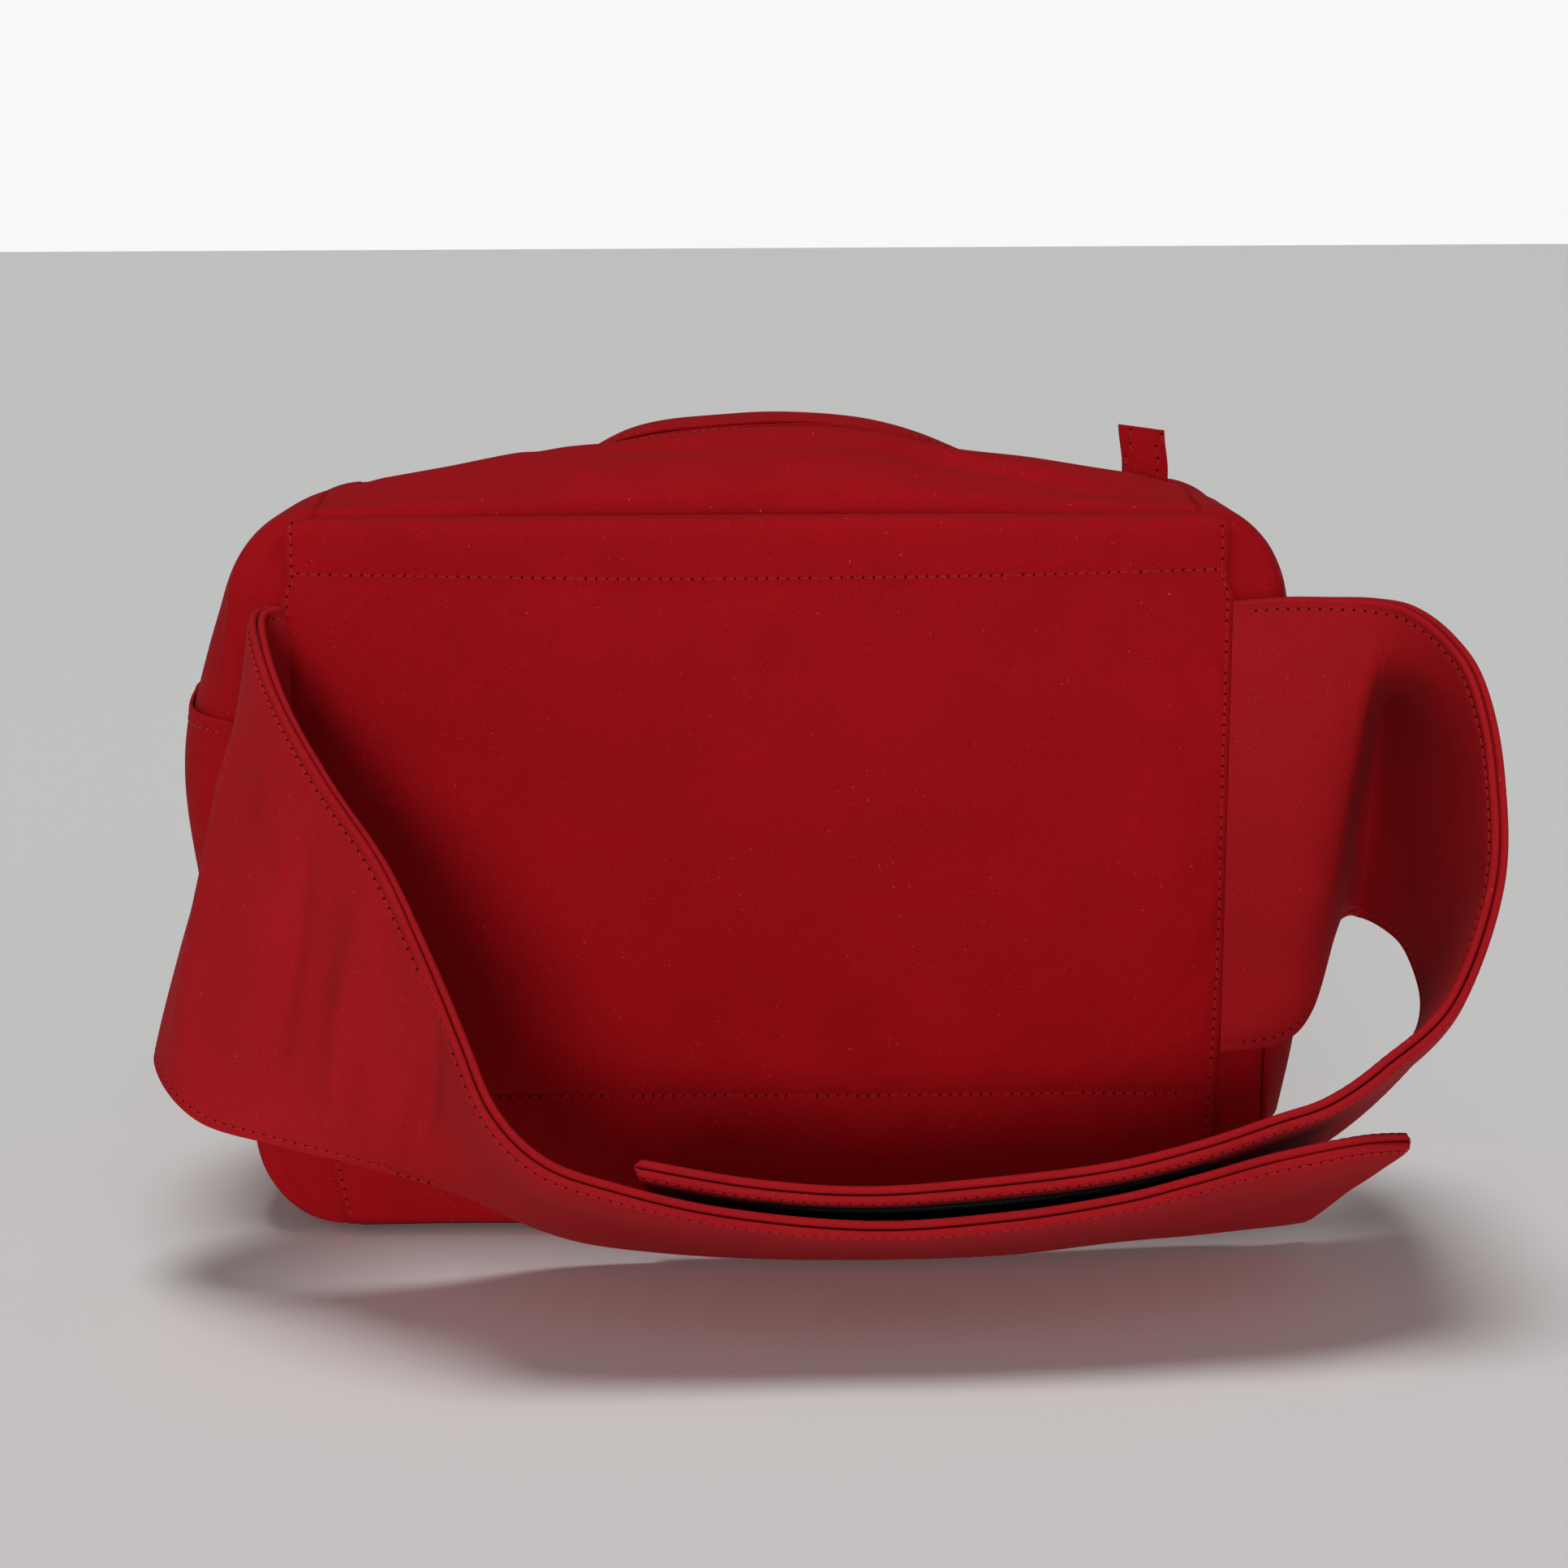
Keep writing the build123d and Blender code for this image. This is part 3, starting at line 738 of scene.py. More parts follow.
def overlay_place(u, v):
    """Sheet of the overlay before it swells."""
    z_rows = BASE_Z + (TOP_Z - BASE_Z) * v
    left, right = overlay_edge(z_rows, -1), overlay_edge(z_rows, 1)
    x = left + (right - left) * u
    into = np.clip(np.abs(x) - (HALF_WIDTH - CORNER), 0, CORNER)
    drop = CORNER - np.sqrt(CORNER ** 2 - into ** 2)
    z = z_rows - drop * np.clip((v - 0.5) * 2, 0, 1) ** 3 + drop * np.clip((0.5 - v) * 2, 0, 1) ** 3
    side_gap = np.minimum(x - left, right - x)
    end_gap = np.minimum(TOP_Z - z, z - BASE_Z)
    y = OVERLAY_Y + 0.0052 * np.exp(-end_gap / 0.0028) + 0.0010 * np.exp(-side_gap / 0.0011)
    return np.stack([x, y, z], -1)


overlay = lattice("back_overlay_pad", 162, 128, overlay_place, nylon)
print("overlay points", len(overlay.data.vertices))

# %% Swell the overlay by cloth simulation
def swell(obj, pinned, frames, pressure, slack, cap):
    """Swell a sheet by pressure, held at the pinned points; no point travels more than the cap."""
    alone(obj)
    start = read_points(obj)
    group = obj.vertex_groups.new(name="held")
    for index in np.nonzero(pinned > 0.02)[0]:
        group.add([int(index)], float(pinned[index]), "REPLACE")
    cloth_modifier = obj.modifiers.new("cloth", "CLOTH")
    settings = cloth_modifier.settings
    settings.vertex_group_mass = "held"
    settings.use_pressure = True
    settings.uniform_pressure_force = pressure
    settings.shrink_min = -slack
    settings.quality = 6
    settings.tension_stiffness = settings.compression_stiffness = 30
    settings.bending_stiffness = 1.5
    settings.effector_weights.gravity = 0
    cloth_modifier.collision_settings.use_collision = False
    cloth_modifier.point_cache.frame_end = frames
    for number in range(1, frames + 1):
        bpy.context.scene.frame_set(number)
    bpy.ops.object.modifier_apply(modifier=cloth_modifier.name)
    bpy.context.scene.frame_set(1)
    travel = read_points(obj) - start
    far = np.linalg.norm(travel, axis=1, keepdims=True)
    kept = start + travel * cap * np.tanh(far / cap) / np.maximum(far, 1e-9)
    obj.data.vertices.foreach_set("co", kept.astype(np.float32).ravel())
    obj.data.update()
    obj.vertex_groups.clear()
    return far.max()


rest = read_points(overlay)
left_gap = rest[:, 0] - overlay_edge(rest[:, 2], -1)
right_gap = overlay_edge(rest[:, 2], 1) - rest[:, 0]
cross_gap = [np.abs(rest[:, 2] - row_height(rest[:, 0], row)) for row in (UPPER_ROW, LOWER_ROW)]
cross_gap = np.minimum(*cross_gap)
row_gap = np.minimum.reduce([np.abs(left_gap - INSIDE), np.abs(right_gap - INSIDE), cross_gap])
outside = (left_gap < INSIDE) | (right_gap < INSIDE)
outside |= (rest[:, 2] > TOP_Z - 0.004) | (rest[:, 2] < BASE_Z + 0.004)
held = np.where(outside, 1.0, (row_gap < 0.0013).astype(float))
print("overlay swelled by", round(float(swell(overlay, held, 20, 3.0, 0.006, 0.0030)), 4))

# %% Finish the overlay
points = read_points(overlay)
ease = np.clip(np.minimum.reduce([left_gap, right_gap]) / 0.03, 0, 1)
soft = 0.0009 * rumple(points, 0.07, 93) * ease + 0.00035 * rumple(points, 0.02, 97) * ease
pull = 0.0011 * np.exp(-(row_gap / 0.0012) ** 2)
pucker = 0.00022 * np.sin(points[:, 0] / 0.0021 + 3 * rumple(points, 0.03, 5))
pucker = pucker * np.exp(-(cross_gap / 0.005) ** 2)
points[:, 1] += pull + pucker - soft
points[:, 1] = np.maximum(points[:, 1], OVERLAY_MOST)
overlay.data.vertices.foreach_set("co", points.astype(np.float32).ravel())
overlay.data.update()
thicken(overlay, 0.0040)
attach(overlay, "bag")
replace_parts(overlay, "back_overlay", "back_foam", "strap_tail_left", "strap_tail_right")
z = np.linspace(0.006, 0.252, 90)
across = np.linspace(-0.1585, 0.1585, 60)
rows = [[(float(overlay_edge(h, side)) - side * INSIDE, -0.08, h) for h in z] for side in (-1, 1)]
rows += [[(a, -0.08, float(row_height(a, row))) for a in across * wide]
         for row, wide in ((UPPER_ROW, 1), (LOWER_ROW, 0.965))]
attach(sew("overlay_topstitch", [overlay], rows, travel=Vector((0, 1, 0))), "bag")
print("overlay made", [round(x, 4) for x in overlay.dimensions])

# %% [markdown]
# ## The strap halves
# Each half is a wide band: a thin foam between two faces of nylon, sewn round its edge. Both faces are
# turned in, so the edge shows two rolled lips with a dark groove between them. Each half leaves the back
# beside the overlay, turns forwards and comes round in front. It is drawn as a sheet by pairs of points on
# its two long edges, and smoothed between them; a closed section with the lips and the groove then runs
# along that sheet.

# %% Lines of the two strap halves
LEFT_STRAP = [
    ((-161, -61.2, 225), (-161, -61.2, 65)), ((-167, -73, 224), (-186, -67, 67)),
    ((-162, -92, 214), (-204, -80, 73)), ((-152, -112, 199), (-200, -98, 67)),
    ((-137, -130, 179), (-186, -110, 58)), ((-118, -146, 156), (-163, -115, 53)),
    ((-104, -160, 131), (-138, -113, 46)), ((-92, -172, 106), (-112, -108, 37)),
    ((-82, -181, 85), (-92, -102, 27)), ((-67, -185, 70), (-76, -97, 17)),
    ((-46, -187, 62), (-54, -93, 9)), ((-10, -187, 53), (-12, -91, 4)), ((36, -186, 48), (38, -91, 3)),
    ((77, -184, 50), (84, -90, 4)), ((112, -180, 54), (124, -86, 7)), ((137, -176, 59), (150, -83, 8)),
    ((163, -172, 65), (170, -80, 9)), ((190, -165, 68), (182, -78, 9.5)),
    ((207, -157, 66), (190, -76, 10)),
]
RIGHT_STRAP = [
    ((161, -61.2, 225), (161, -61.2, 65)), ((179, -61.2, 226), (181, -61.2, 68)),
    ((195, -62, 226), (192, -56, 78)), ((208, -67, 226), (202, -40, 101)),
    ((219, -76, 224), (211, -12, 101)), ((229, -87, 216), (222, 3, 98)),
    ((236, -100, 203), (230, -17, 97)), ((239, -118, 177), (233.5, -36, 93)),
    ((236, -135, 144), (235, -54, 81)), ((220, -152, 110), (230, -64, 69)),
    ((197, -160, 91), (217, -71, 56)), ((180, -163, 80), (199, -76, 42)),
    ((163, -166, 75), (178, -79, 29)), ((140, -171, 69), (154, -79, 19)),
    ((111, -175, 63), (124, -81, 16)), ((77, -179, 60), (84, -85, 14)),
    ((36, -181, 57.5), (38, -86, 13.5)), ((-1, -182, 60.5), (0, -87, 14)),
    ((-38, -182, 67.5), (-36, -89, 18)),
]
STRAP_HALF, EDGE_ROW, OFF_FACE = 0.0028, 0.0030, 0.0045


def smooth(points, at):
    """Smooth curve through points, read at station numbers that needn't be whole."""
    points = np.asarray(points, float)
    last = len(points) - 1
    i = np.clip(np.floor(at).astype(int), 0, last - 1)
    t = (at - i)[..., None]
    a, b, c, d = (points[np.clip(i + k, 0, last)] for k in (-1, 0, 1, 2))
    bend, twist = 2 * a - 5 * b + 4 * c - d, 3 * b - a - 3 * c + d
    return 0.5 * (2 * b + (c - a) * t + bend * t ** 2 + twist * t ** 3)


def tuck(at, share):
    """How far the right half is pushed back in a valley where it turns forwards, below its upper edge."""
    start = np.clip((share - 0.10) / 0.26, 0, 1)
    depth = np.clip(0.096 - 0.097 * share, 0, 1) * start * start * (3 - 2 * start)
    before = np.clip((at - (3.3 - 1.2 * share)) / (1.75 + 1.2 * share), 0, 1) ** 1.1
    after = np.clip((7.0 - at) / 1.95, 0, 1)
    return depth * (np.maximum(before, 1e-3) ** -8 + np.maximum(after, 1e-3) ** -8) ** -0.125


def strap_sheet(stations, at, share):
    """Middle layer of a strap: points, normals and the way out over its upper edge."""
    ends = np.asarray(stations, float) / 1000
    side = -1 if stations is RIGHT_STRAP else 1

    def spot(where, across):
        upper, lower = smooth(ends[:, 0], where), smooth(ends[:, 1], where)
        flat = upper + (lower - upper) * across[..., None]
        return flat + (tuck(where, across)[..., None] * (0, 1, 0) if side < 0 else 0)
    upper, lower, points = smooth(ends[:, 0], at), smooth(ends[:, 1], at), spot(at, share)
    ahead = spot(at + 0.05, share) - spot(at - 0.05, share)
    down = spot(at, share + 0.01) - spot(at, share - 0.01)
    n = np.cross(down, ahead) * side
    n = n / np.maximum(np.linalg.norm(n, axis=-1, keepdims=True), 1e-12)
    out = (upper - lower) / np.linalg.norm(upper - lower, axis=-1, keepdims=True)
    return points, n, out


print("strap stations", len(LEFT_STRAP), len(RIGHT_STRAP))

# %% Section of a strap: two faces, two rolled lips at each edge
LIP = 0.00125


def section():
    """Closed section as rows of: kind, edge or share across, distance in from that edge, height or face."""
    near = [0.0016, 0.0023, 0.0030, 0.0038, 0.0050, 0.0075, 0.011, 0.016]
    rows = [("share", 0, d, 1) for d in near]
    rows += [("share", s, 0, 1) for s in np.linspace(0.14, 0.86, 17)]
    rows += [("share", 1, d, 1) for d in near[::-1]]
    rows += edge_rows(1, 1)
    rows += [("share", 1, d, -1) for d in near]
    rows += [("share", s, 0, -1) for s in np.linspace(0.86, 0.14, 17)]
    rows += [("share", 0, d, -1) for d in near[::-1]]
    rows += edge_rows(0, -1)
    return rows


def edge_rows(edge, first):
    """Rows round one edge: a lip, the groove, the other lip."""
    turns = np.radians(np.linspace(75, -75, 7))
    lip = [("lip", edge, LIP - LIP * np.cos(a), first * (0.0015 + LIP * np.sin(a))) for a in turns]
    groove = [("lip", edge, 0.0045, 0.0)]
    other = [("lip", edge, d, -h) for _, _, d, h in lip[::-1]]
    return lip + groove + other


SECTION = section()
IS_LIP = np.array([kind == "lip" for kind, *_ in SECTION])
ANCHOR, INTO, LEVEL = (np.array([row[k] for row in SECTION], float) for k in (1, 2, 3))
print("section points", len(SECTION))


def strap_skin(stations, first, last, relief, end_round):
    """Function that places a grid as the strap's whole skin between two stations."""
    total = len(stations) - 1

    def place(u, v):
        k = np.rint(v * len(SECTION)).astype(int) % len(SECTION)
        at = first + (last - first) * u
        upper, lower = (smooth([s[i] for s in stations], at) / 1000 for i in (0, 1))
        width = np.linalg.norm(lower - upper, axis=-1)
        into = INTO[k] / width
        share = np.where(ANCHOR[k] == 1, 1 - into, np.where(ANCHOR[k] == 0, into, ANCHOR[k]))
        p, n, out = strap_sheet(stations, at, share)
        gap = np.minimum(share, 1 - share) * width
        face = np.sign(LEVEL[k])
        puff = 0.0004 * (1 - np.exp(-gap / 0.008)) - 0.0007 * np.exp(-((gap - EDGE_ROW) / 0.0010) ** 2)
        height = np.where(IS_LIP[k], LEVEL[k], face * (STRAP_HALF + puff))
        if end_round:
            to_end = (total - at) * 0.030
            height = height * np.sqrt(np.clip(1 - np.clip(1 - to_end / 0.0024, 0, 1) ** 2, 0.02, 1))
        wave = relief(at, share, p) * np.clip(at / 0.6, 0, 1)
        lipwave = 0.0004 * rumple(p, 0.035, 5) * np.clip(at / 0.6, 0, 1)
        outwards = lipwave * IS_LIP[k] * np.where(share < 0.5, 1, -1)
        return p + n * (height + wave)[..., None] + out * outwards[..., None]
    return place


def strap_piece(name, stations, first, last, columns, relief, material, end_round=True):
    """Closed band from one station to another, with its faces outwards."""
    place = strap_skin(stations, first, last, relief, end_round)
    piece = lattice(name, columns, len(SECTION), place, material)
    close_up(piece, 60)
    return piece


def folds(at, share, lines):
    """Soft folds (or, if negative, creases), each between two places given as station and share across."""
    here = np.stack([at * 0.25, share], -1)
    total = 0
    for s0, v0, s1, v1, width, height in lines:
        a, b = np.array([s0 * 0.25, v0]), np.array([s1 * 0.25, v1])
        t = np.clip(((here - a) @ (b - a)) / ((b - a) @ (b - a)), 0, 1)[..., None]
        total = total + height * np.exp(-(np.linalg.norm(here - a - t * (b - a), axis=-1) / width) ** 2)
    return total


LEFT_FOLDS = [
    (5.2, 0.15, 5.8, 0.80, 0.08, 0.0060), (6.7, 0.10, 6.8, 0.9, 0.055, -0.0044),
    (2.2, 0.3, 3.4, 0.95, 0.10, 0.0034), (4.2, 0.22, 4.7, 0.7, 0.05, -0.0042),
    (3.1, 0.16, 3.9, 0.24, 0.03, 0.0018), (3.2, 0.24, 4.0, 0.31, 0.025, -0.0016),
]
RIGHT_CREASES = [
    (3.6, 0.13, 3.3, 0.25, 0.025, -0.0022), (3.1, 0.6, 3.4, 0.2, 0.03, 0.002),
    (2.3, 0.07, 3.3, 0.11, 0.020, 0.0016), (2.5, 0.13, 3.2, 0.17, 0.020, -0.0016),
]


def left_relief(at, share, p):
    """Folds of the left half: it hangs in soft upright waves and sags at its turn."""
    middle = np.sin(np.pi * np.clip(share, 0, 1)) ** 0.7 * (1 - np.exp(-((at - 13) / 2.9) ** 6))
    waves = 0.0016 * rumple(p, 0.07, 101) + 0.0006 * rumple(p, 0.026, 103)
    return middle * (waves + folds(at, share, LEFT_FOLDS))


def right_relief(at, share, p):
    """Folds of the right half: sharp creases where it turns forwards, smooth elsewhere."""
    middle = np.sin(np.pi * np.clip(share, 0, 1)) ** 0.7 * (1 - np.exp(-((at - 15) / 2.9) ** 6))
    waves = 0.0012 * rumple(p, 0.07, 107) + 0.0005 * rumple(p, 0.026, 109)
    return middle * (waves + folds(at, share, RIGHT_CREASES))


def strap_rows(stations, first, last, side, share_edge):
    """Line a little in from one long edge, just off one face; share_edge is 0 for the upper, 1 for the lower."""
    at = np.linspace(first, last, 240)
    ends = np.asarray(stations, float) / 1000
    width = np.linalg.norm(smooth(ends[:, 0] - ends[:, 1], at), axis=-1)
    share = np.abs(share_edge - EDGE_ROW / width)
    p, n, _ = strap_sheet(stations, at, share)
    return p + n * side * OFF_FACE


# %% Left half
left_strap = strap_piece("strap_left_band", LEFT_STRAP, 0, 18, 216, left_relief, strap_nylon)
left_rows = [strap_rows(LEFT_STRAP, 0.3, 17.9, side, edge) for side in (1, -1) for edge in (0, 1)]
left_thread = sew("strap_left_topstitch", [left_strap], left_rows)
for piece in (left_strap, left_thread):
    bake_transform(piece)
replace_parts(left_strap, "strap_root_left_outer", "strap_root_left_foam", "strap_root_left_inner",
            "strap_left_outer", "strap_left_foam", "strap_left_inner")
print("left half", [round(x, 4) for x in left_strap.dimensions])

# %% [markdown]
# The right half folds at its outer turn. A bend between two bodies works with one flat boundary, and the
# right half curls so far round that its end comes back past any such boundary. So it is made in two lengths
# that meet beyond the fold: the first one is fixed where it lies, and the second one rides on the right
# strap's body.

# %% Right half
TURN = 7
right_turn = strap_piece("strap_right_turn", RIGHT_STRAP, 0, TURN, 84, right_relief, strap_nylon, False)
right_front = strap_piece("strap_right_front", RIGHT_STRAP, TURN, 18, 132, right_relief, strap_nylon)
turn_rows = [strap_rows(RIGHT_STRAP, 0.3, TURN, side, edge) for side in (1, -1) for edge in (0, 1)]
front_rows = [strap_rows(RIGHT_STRAP, TURN, 17.9, side, edge) for side in (1, -1) for edge in (0, 1)]
turn_thread = sew("strap_right_turn_topstitch", [right_turn], turn_rows)
front_thread = sew("strap_right_front_topstitch", [right_front], front_rows)
for piece in (right_turn, turn_thread):
    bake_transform(piece)
for piece in (right_front, front_thread):
    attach(piece, "right_strap")
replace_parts(right_turn, "strap_root_right_outer", "strap_root_right_foam", "strap_root_right_inner")
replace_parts(right_front, "strap_right_outer", "strap_right_foam", "strap_right_inner")
print("right half", [round(x, 4) for x in right_front.dimensions])

# %% [markdown]
# ## Hook and loop tapes
# The right half carries a stiff black tape of hooks on its outer face, the left half a soft black tape of
# loops on its inner face. Each tape is a thin strip with one sewn edge all round. The hooks are many tiny
# curved hairs, so each has only a few faces.

# %% Tapes
hook_cloth = cloth("hook_tape", (0.010, 0.0085, 0.0085), thread=0.0008, weave=0.5, mottle=0.3, sheen=0.05,
                   bloom=(1, 1, 1), painted_glints=False)
loop_cloth = cloth("loop_tape", (0.013, 0.0105, 0.0105), thread=0.0006, weave=0.4, mottle=0.4, sheen=0.5,
                   bloom=(0.6, 0.55, 0.55), painted_glints=False)
TAPE_TOP, TAPE_SHARE = 0.12, 0.76


def tape(name, stations, first, last, side, material, fuzz):
    """Strip of tape on one face of a strap half."""
    def place(u, v):
        share = TAPE_TOP + TAPE_SHARE * v
        p, n, _ = strap_sheet(stations, first + (last - first) * u, share)
        rim = np.minimum(np.minimum(u, 1 - u) * 0.13, np.minimum(v, 1 - v) * 0.07)
        height = STRAP_HALF + 0.0004 + 0.0008 * (1 - np.exp(-rim / 0.0012)) + fuzz * rumple(p, 0.0022, 7)
        return p + n * side * height[..., None]
    piece = lattice(name, 150, 60, place, material)
    thicken(piece, 0.0009)
    return piece


hooks = tape("hook_tape_cloth", RIGHT_STRAP, 13, 17, 1, hook_cloth, 0.00005)
loops = tape("loop_tape_cloth", LEFT_STRAP, 11, 15, -1, loop_cloth, 0.00035)
for piece, body in ((hooks, "right_strap"), (loops, "left_strap")):
    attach(piece, body)
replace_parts(hooks, "hook_tape")
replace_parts(loops, "loop_tape")
print("tapes", [round(x, 4) for x in hooks.dimensions], [round(x, 4) for x in loops.dimensions])

# %% Hooks on the tape
bpy.ops.object.select_all(action="DESELECT")
bpy.ops.mesh.primitive_cylinder_add(vertices=3, radius=0.00009, depth=0.0011, end_fill_type="NOTHING")
hook_model = bpy.context.object
bpy.ops.object.mode_set(mode="EDIT")
bpy.ops.mesh.select_all(action="SELECT")
bpy.ops.mesh.subdivide(number_cuts=1)
bpy.ops.object.mode_set(mode="OBJECT")
hook_points, hook_faces = take_model(hook_model)
hook_points[:, 0] += 0.0005 * np.clip(hook_points[:, 2] / 0.00055, 0, 1) ** 2
chance = np.random.default_rng(4)
hook_places = []
for u in np.linspace(0.01, 0.99, 64):
    for v in np.linspace(0.03, 0.97, 30):
        at = np.array(13 + 4 * u + chance.normal(0, 0.01))
        share = np.array(TAPE_TOP + TAPE_SHARE * v + chance.normal(0, 0.004))
        p, n, out = strap_sheet(RIGHT_STRAP, at, share)
        lean = n + 0.25 * chance.normal(0, 1, 3)
        lean = lean / np.linalg.norm(lean)
        side = np.cross(lean, out)
        side = side / np.linalg.norm(side)
        hook_places.append((p + n * OFF_FACE, [side, np.cross(lean, side), lean]))
hook_hairs = copies("hook_hairs", hook_points, hook_faces, hook_places, hook_cloth)
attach(hook_hairs, "right_strap")
print("hooks", len(hook_places))

# %% [markdown]
# ## Tab at the zip's end
# A strip of the same nylon, folded double and stitched near both long edges, stands up beside the zip. It
# gives a thumb something to hold while the zip is pulled. It is one closed strip, a little wavy at its free
# end.

# %% Tab
TAB_X, TAB_FOOT_Z = 0.1385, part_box("zip_tab")[0].z + 0.0012


def tab_skin(u, v):
    """Closed section of the tab, carried up along its lean."""
    turn = 2 * np.pi * v
    wide, thick = 0.0083, 0.00115
    across = wide * np.sign(np.cos(turn)) * np.abs(np.cos(turn)) ** 0.35
    depth = thick * np.sign(np.sin(turn)) * np.abs(np.sin(turn)) ** 0.35
    seam = 0.45 * np.exp(-((np.abs(across) - wide * 0.70) / 0.0008) ** 2)
    depth = depth * (1 - seam + 0.12 * rumple(np.stack([across, depth, u * 0.02], -1), 0.004, 2))
    up = 0.0190 * u
    lean = np.radians(8)
    x = TAB_X + across * np.cos(lean) - 0.06 * up + 0.0004 * np.sin(u * 5)
    z = TAB_FOOT_Z + up - across * np.sin(lean)
    y = depth + 0.0007 * np.sin(u * 3.2)
    return np.stack([x, y, z], -1)


tab = lattice("zip_tab_cloth", 28, 64, tab_skin, nylon)
close_up(tab, 50)
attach(tab, "end_tab")
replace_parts(tab, "zip_tab")
rise = np.linspace(0.002, 0.0180, 12)
tab_rows = [[(TAB_X + a - h * 0.06, side * 0.01, TAB_FOOT_Z + h - a * 0.14) for h in rise]
            for side in (-1, 1) for a in (-0.0058, 0.0058)]
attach(sew("zip_tab_stitches", [tab], tab_rows), "end_tab")
print("tab", [round(x, 4) for x in tab.dimensions])

# %% [markdown]
# ## Zip
# Two woven tapes lie on an arch under the lips of the top strips, each with a coil of nylon turns along its
# inner edge. A coil is one small rounded loop repeated every 1.5 mm. The slider, its bridge and its pull
# are small metal castings whose CAD shapes are right, so they only get a painted-metal finish.

# %% Zip tapes
zip_cloth = cloth("zip_tape_cloth", (0.30, 0.0065, 0.010), thread=0.0007, weave=0.4, sheen=0.2, painted_glints=False)


def zip_tape(side):
    """Half of the zip's tape, from its coil outwards, on the arch."""
    def place(u, v):
        x = -0.134 + 0.262 * u
        y = side * (0.0013 + 0.0095 * v)
        ribs = 0.00012 * np.cos(v * 40)
        return np.stack([x, y, zip_arch(x) - 0.0001 + ribs], -1)
    return place


for name, side in (("rear", -1), ("front", 1)):
    strip = lattice(f"zip_tape_{name}_cloth", 120, 14, zip_tape(side), zip_cloth)
    if side < 0:
        bpy.ops.object.mode_set(mode="EDIT")
        bpy.ops.mesh.select_all(action="SELECT")
        bpy.ops.mesh.flip_normals()
        bpy.ops.object.mode_set(mode="OBJECT")
    thicken(strip, 0.0007)
    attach(strip, "bag")
    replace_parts(strip, f"zip_tape_{name}")
print("zip tapes made")

# %% Zip coils
coil_plastic = bpy.data.materials.new("zip_coil_plastic")
nodes, links, shader = shader_of(coil_plastic)
place = nodes.new("ShaderNodeTexCoord").outputs["Object"]
grain = noise_on(nodes, links, place, 600)
coil_red = mix_colour(nodes, links, grain, (0.24, 0.010, 0.014), (0.36, 0.016, 0.022))
links.new(coil_red, shader.inputs["Base Color"])
shader.inputs["Roughness"].default_value = 0.38
bpy.ops.object.select_all(action="DESELECT")
bpy.ops.mesh.primitive_torus_add(major_segments=10, minor_segments=5, major_radius=0.7, minor_radius=0.3)
turn_points, turn_faces = take_model(bpy.context.object)
for name, side in (("rear", -1), ("front", 1)):
    places = []
    for x in np.arange(-0.128, 0.124, 0.0015):
        slope = -x / ZIP_RADIUS
        axes = [(0.00095, 0, 0.00095 * slope), (0, 0.00125, 0.0002 * side), (-0.0007 * slope, 0, 0.0008)]
        places.append((np.array([x + 0.0004 * side, side * 0.00175, zip_arch(x) + 0.0007]), axes))
    coil = copies(f"zip_coil_{name}_turns", turn_points, turn_faces, places, coil_plastic)
    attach(coil, "bag")
    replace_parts(coil, f"zip_coil_{name}")
print("coil turns", len(places))

# %% Finish of the small metal parts
def painted_metal(name, colour):
    """Satin paint on a casting, worn bright in random patches."""
    material = bpy.data.materials.new(name)
    nodes, links, shader = shader_of(material)
    cast = noise_on(nodes, links, nodes.new("ShaderNodeTexCoord").outputs["Object"], 700)
    wear = remap(nodes, links, cast, (0.62, 0.70))
    links.new(mix_colour(nodes, links, wear, colour, (0.42, 0.10, 0.09)), shader.inputs["Base Color"])
    raise_surface(nodes, links, shader, cast, 0.15, 0.0001)
    shader.inputs["Metallic"].default_value = 0.35
    shader.inputs["Roughness"].default_value = 0.36
    return material


def dress(node, material):
    """Give a CAD node that stays its material."""
    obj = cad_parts[node]
    obj.data.materials.clear()
    obj.data.materials.append(material)


metal = painted_metal("zip_metal", (0.27, 0.011, 0.015))
for node in ("slider_body", "slider_bridge", "zip_pull", "zip_stop_left", "zip_stop_right"):
    dress(node, metal)
print("metal parts dressed")

# %% [markdown]
# ## Inside
# The lining and the bound seam allowances follow the outer cloth a few millimetres inside it: strips along
# the gusset, open under the zip, and two flat panels. The base board is stiff, so its CAD shape stays. A
# dark plain polyester, a ribbed binding and a board with a faint grain all read a pattern from Object
# coordinates.

# %% Lining, bindings, board
def plain(name, colour, rough, scale, strength, stretch=(1, 1, 1)):
    """Finish from noise in Object coordinates, stretched along an axis for ribs or grain."""
    material = bpy.data.materials.new(name)
    nodes, links, shader = shader_of(material)
    place, mapping = nodes.new("ShaderNodeTexCoord"), nodes.new("ShaderNodeMapping")
    mapping.inputs["Scale"].default_value = stretch
    links.new(place.outputs["Object"], mapping.inputs["Vector"])
    pattern = noise_on(nodes, links, mapping.outputs[0], scale, 4)
    dark, light = (tuple(share * c for c in colour) for share in (0.75, 1.25))
    links.new(mix_colour(nodes, links, pattern, dark, light), shader.inputs["Base Color"])
    raise_surface(nodes, links, shader, pattern, strength, 0.0003)
    shader.inputs["Roughness"].default_value = rough
    return material


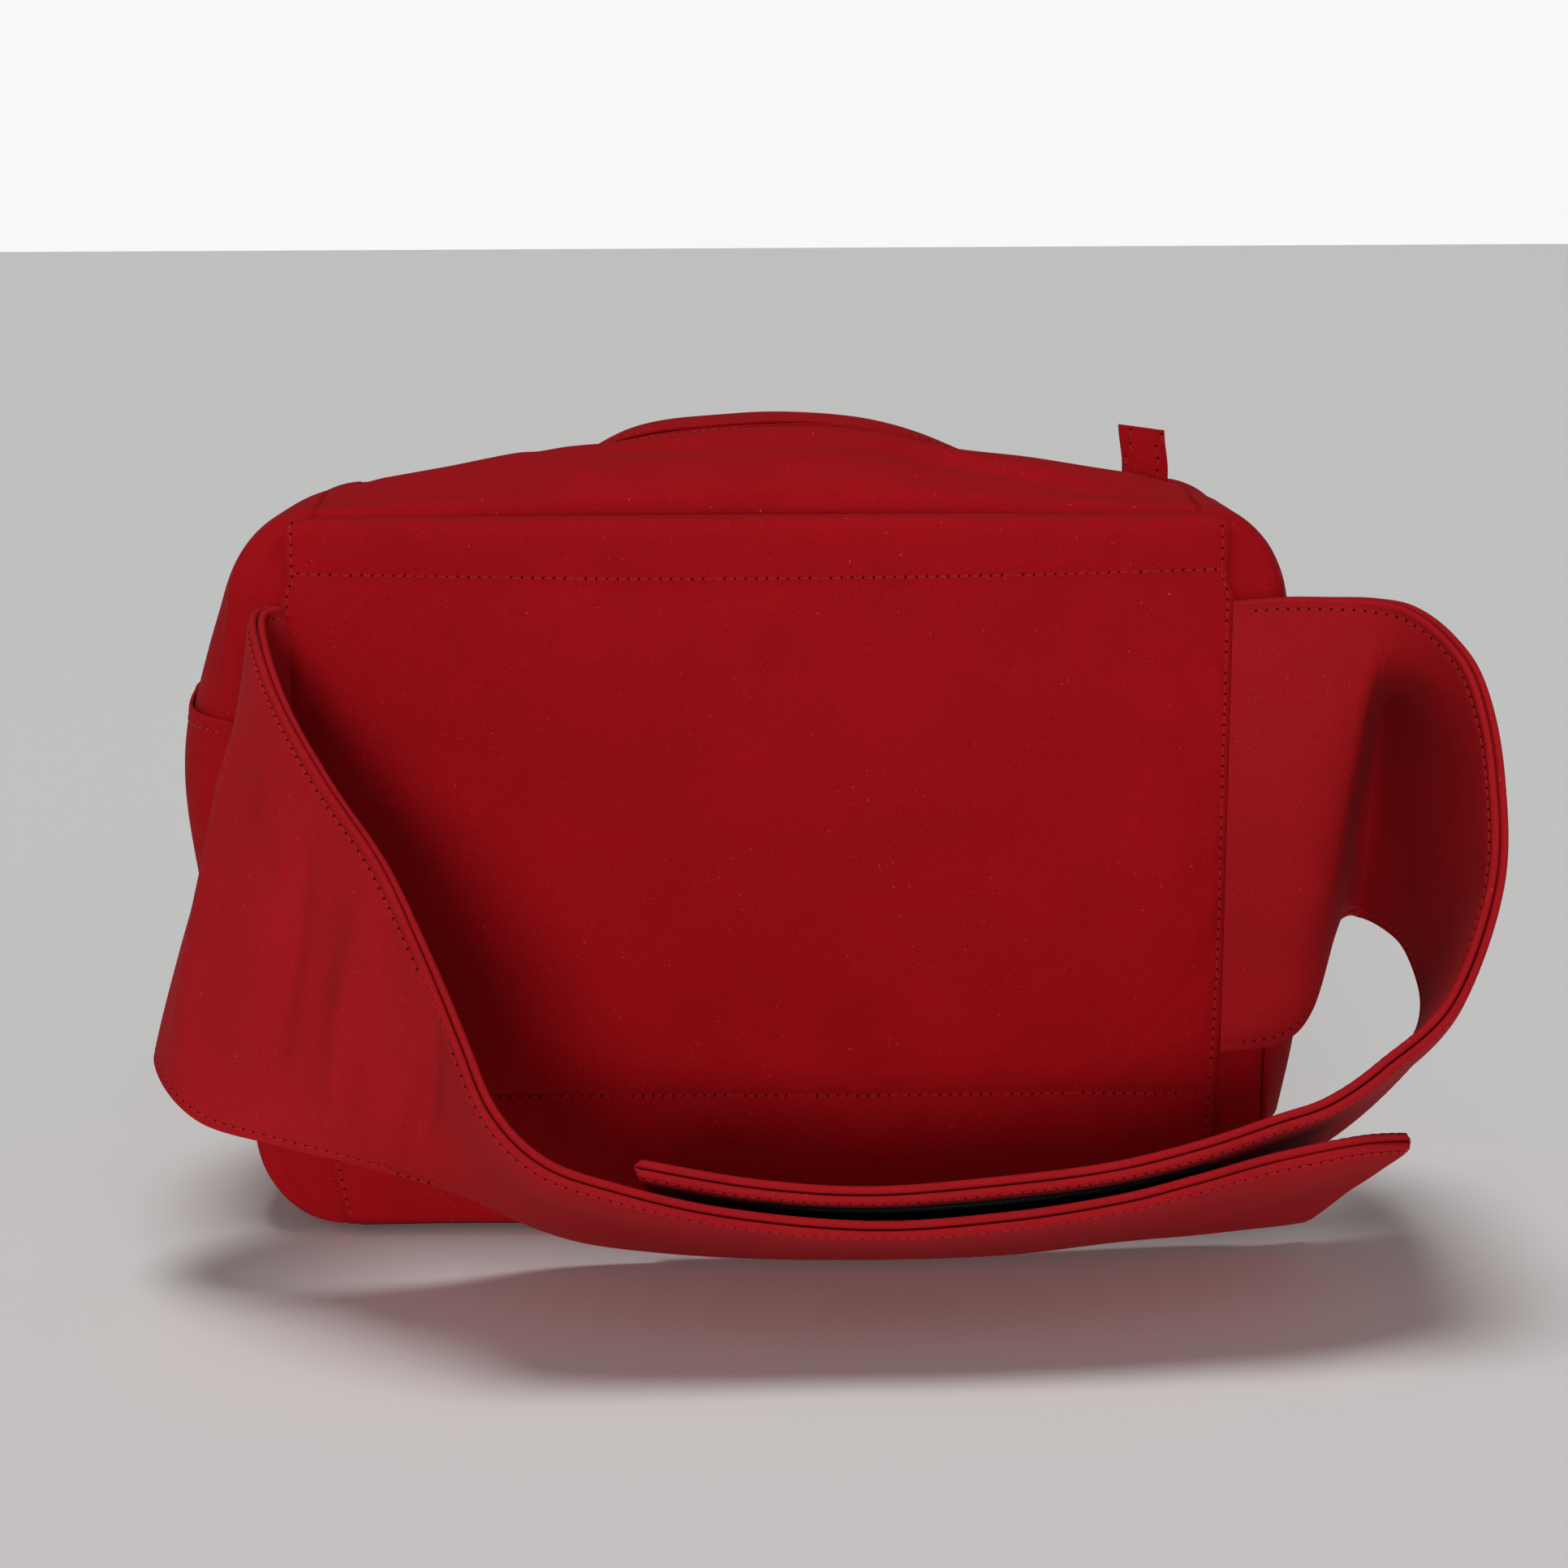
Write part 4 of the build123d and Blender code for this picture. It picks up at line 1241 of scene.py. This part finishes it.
lining_cloth = plain("lining_cloth", (0.035, 0.033, 0.035), 0.6, 900, 0.3)
binding_cloth = plain("binding_cloth", (0.03, 0.03, 0.03), 0.8, 500, 0.5, (1, 6, 1))
board_sheet = plain("board_sheet", (0.08, 0.08, 0.085), 0.5, 90, 0.2, (0.2, 1, 1))
dress("base_board", board_sheet)


def inner_strip(name, span, depths, inset, material):
    """Strip of cloth that follows the gusset from inside; span runs round the seam, depths run along Y."""
    def place(u, v):
        distance, y = span[0] + (span[1] - span[0]) * u, depths[0] + (depths[1] - depths[0]) * v
        base = bag_surface(distance, y)
        into = inset - 0.0017 * np.exp(-base[..., 2] / 0.006) + zip_sag(base, y)
        return base - normals(base) * into[..., None]
    strip = lattice(name, 140, 16, place, material)
    thicken(strip, 0.0005)
    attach(strip, "bag")
    return strip


def inner_panel(name, y, side):
    """Flat lining behind the back or the front panel."""
    def place(u, v):
        z = BASE_Z + 0.006 + (TOP_Z - BASE_Z - 0.012) * (0.5 - 0.5 * np.cos(np.pi * v))
        x = -side * np.sin(np.pi * (u - 0.5)) * row_half_width(z, 0.006)
        return np.stack([x, y + 0.0003 * rumple(np.stack([x, z, z], -1), 0.05, 131), z], -1)
    panel = lattice(name, 60, 50, place, lining_cloth)
    thicken(panel, 0.0005)
    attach(panel, "bag")
    return panel


LINING_Y, ZIP_GAP = 0.0530, 0.0085
all_round = (RIGHT_END, LEFT_END + ROUND[-1])
inner_strip("lining_sides", all_round, (-LINING_Y, LINING_Y), 0.0045, lining_cloth)
for name, depths in (("rear", (-LINING_Y, -ZIP_GAP)), ("front", (ZIP_GAP, LINING_Y))):
    inner_strip(f"lining_top_{name}", (LEFT_END, RIGHT_END), depths, 0.0050, lining_cloth)
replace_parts(bpy.data.objects["lining_sides"], "lining_gusset")
for name, side in (("back", -1), ("front", 1)):
    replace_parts(inner_panel(f"lining_{name}_cloth", side * 0.0532, side), f"lining_{name}")
    depths = sorted((side * 0.0420, side * 0.0526))
    ring = inner_strip(f"seam_binding_{name}_tape", (0, ROUND[-1]), depths, 0.0062, binding_cloth)
    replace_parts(ring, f"seam_binding_{name}")
print("inside made")
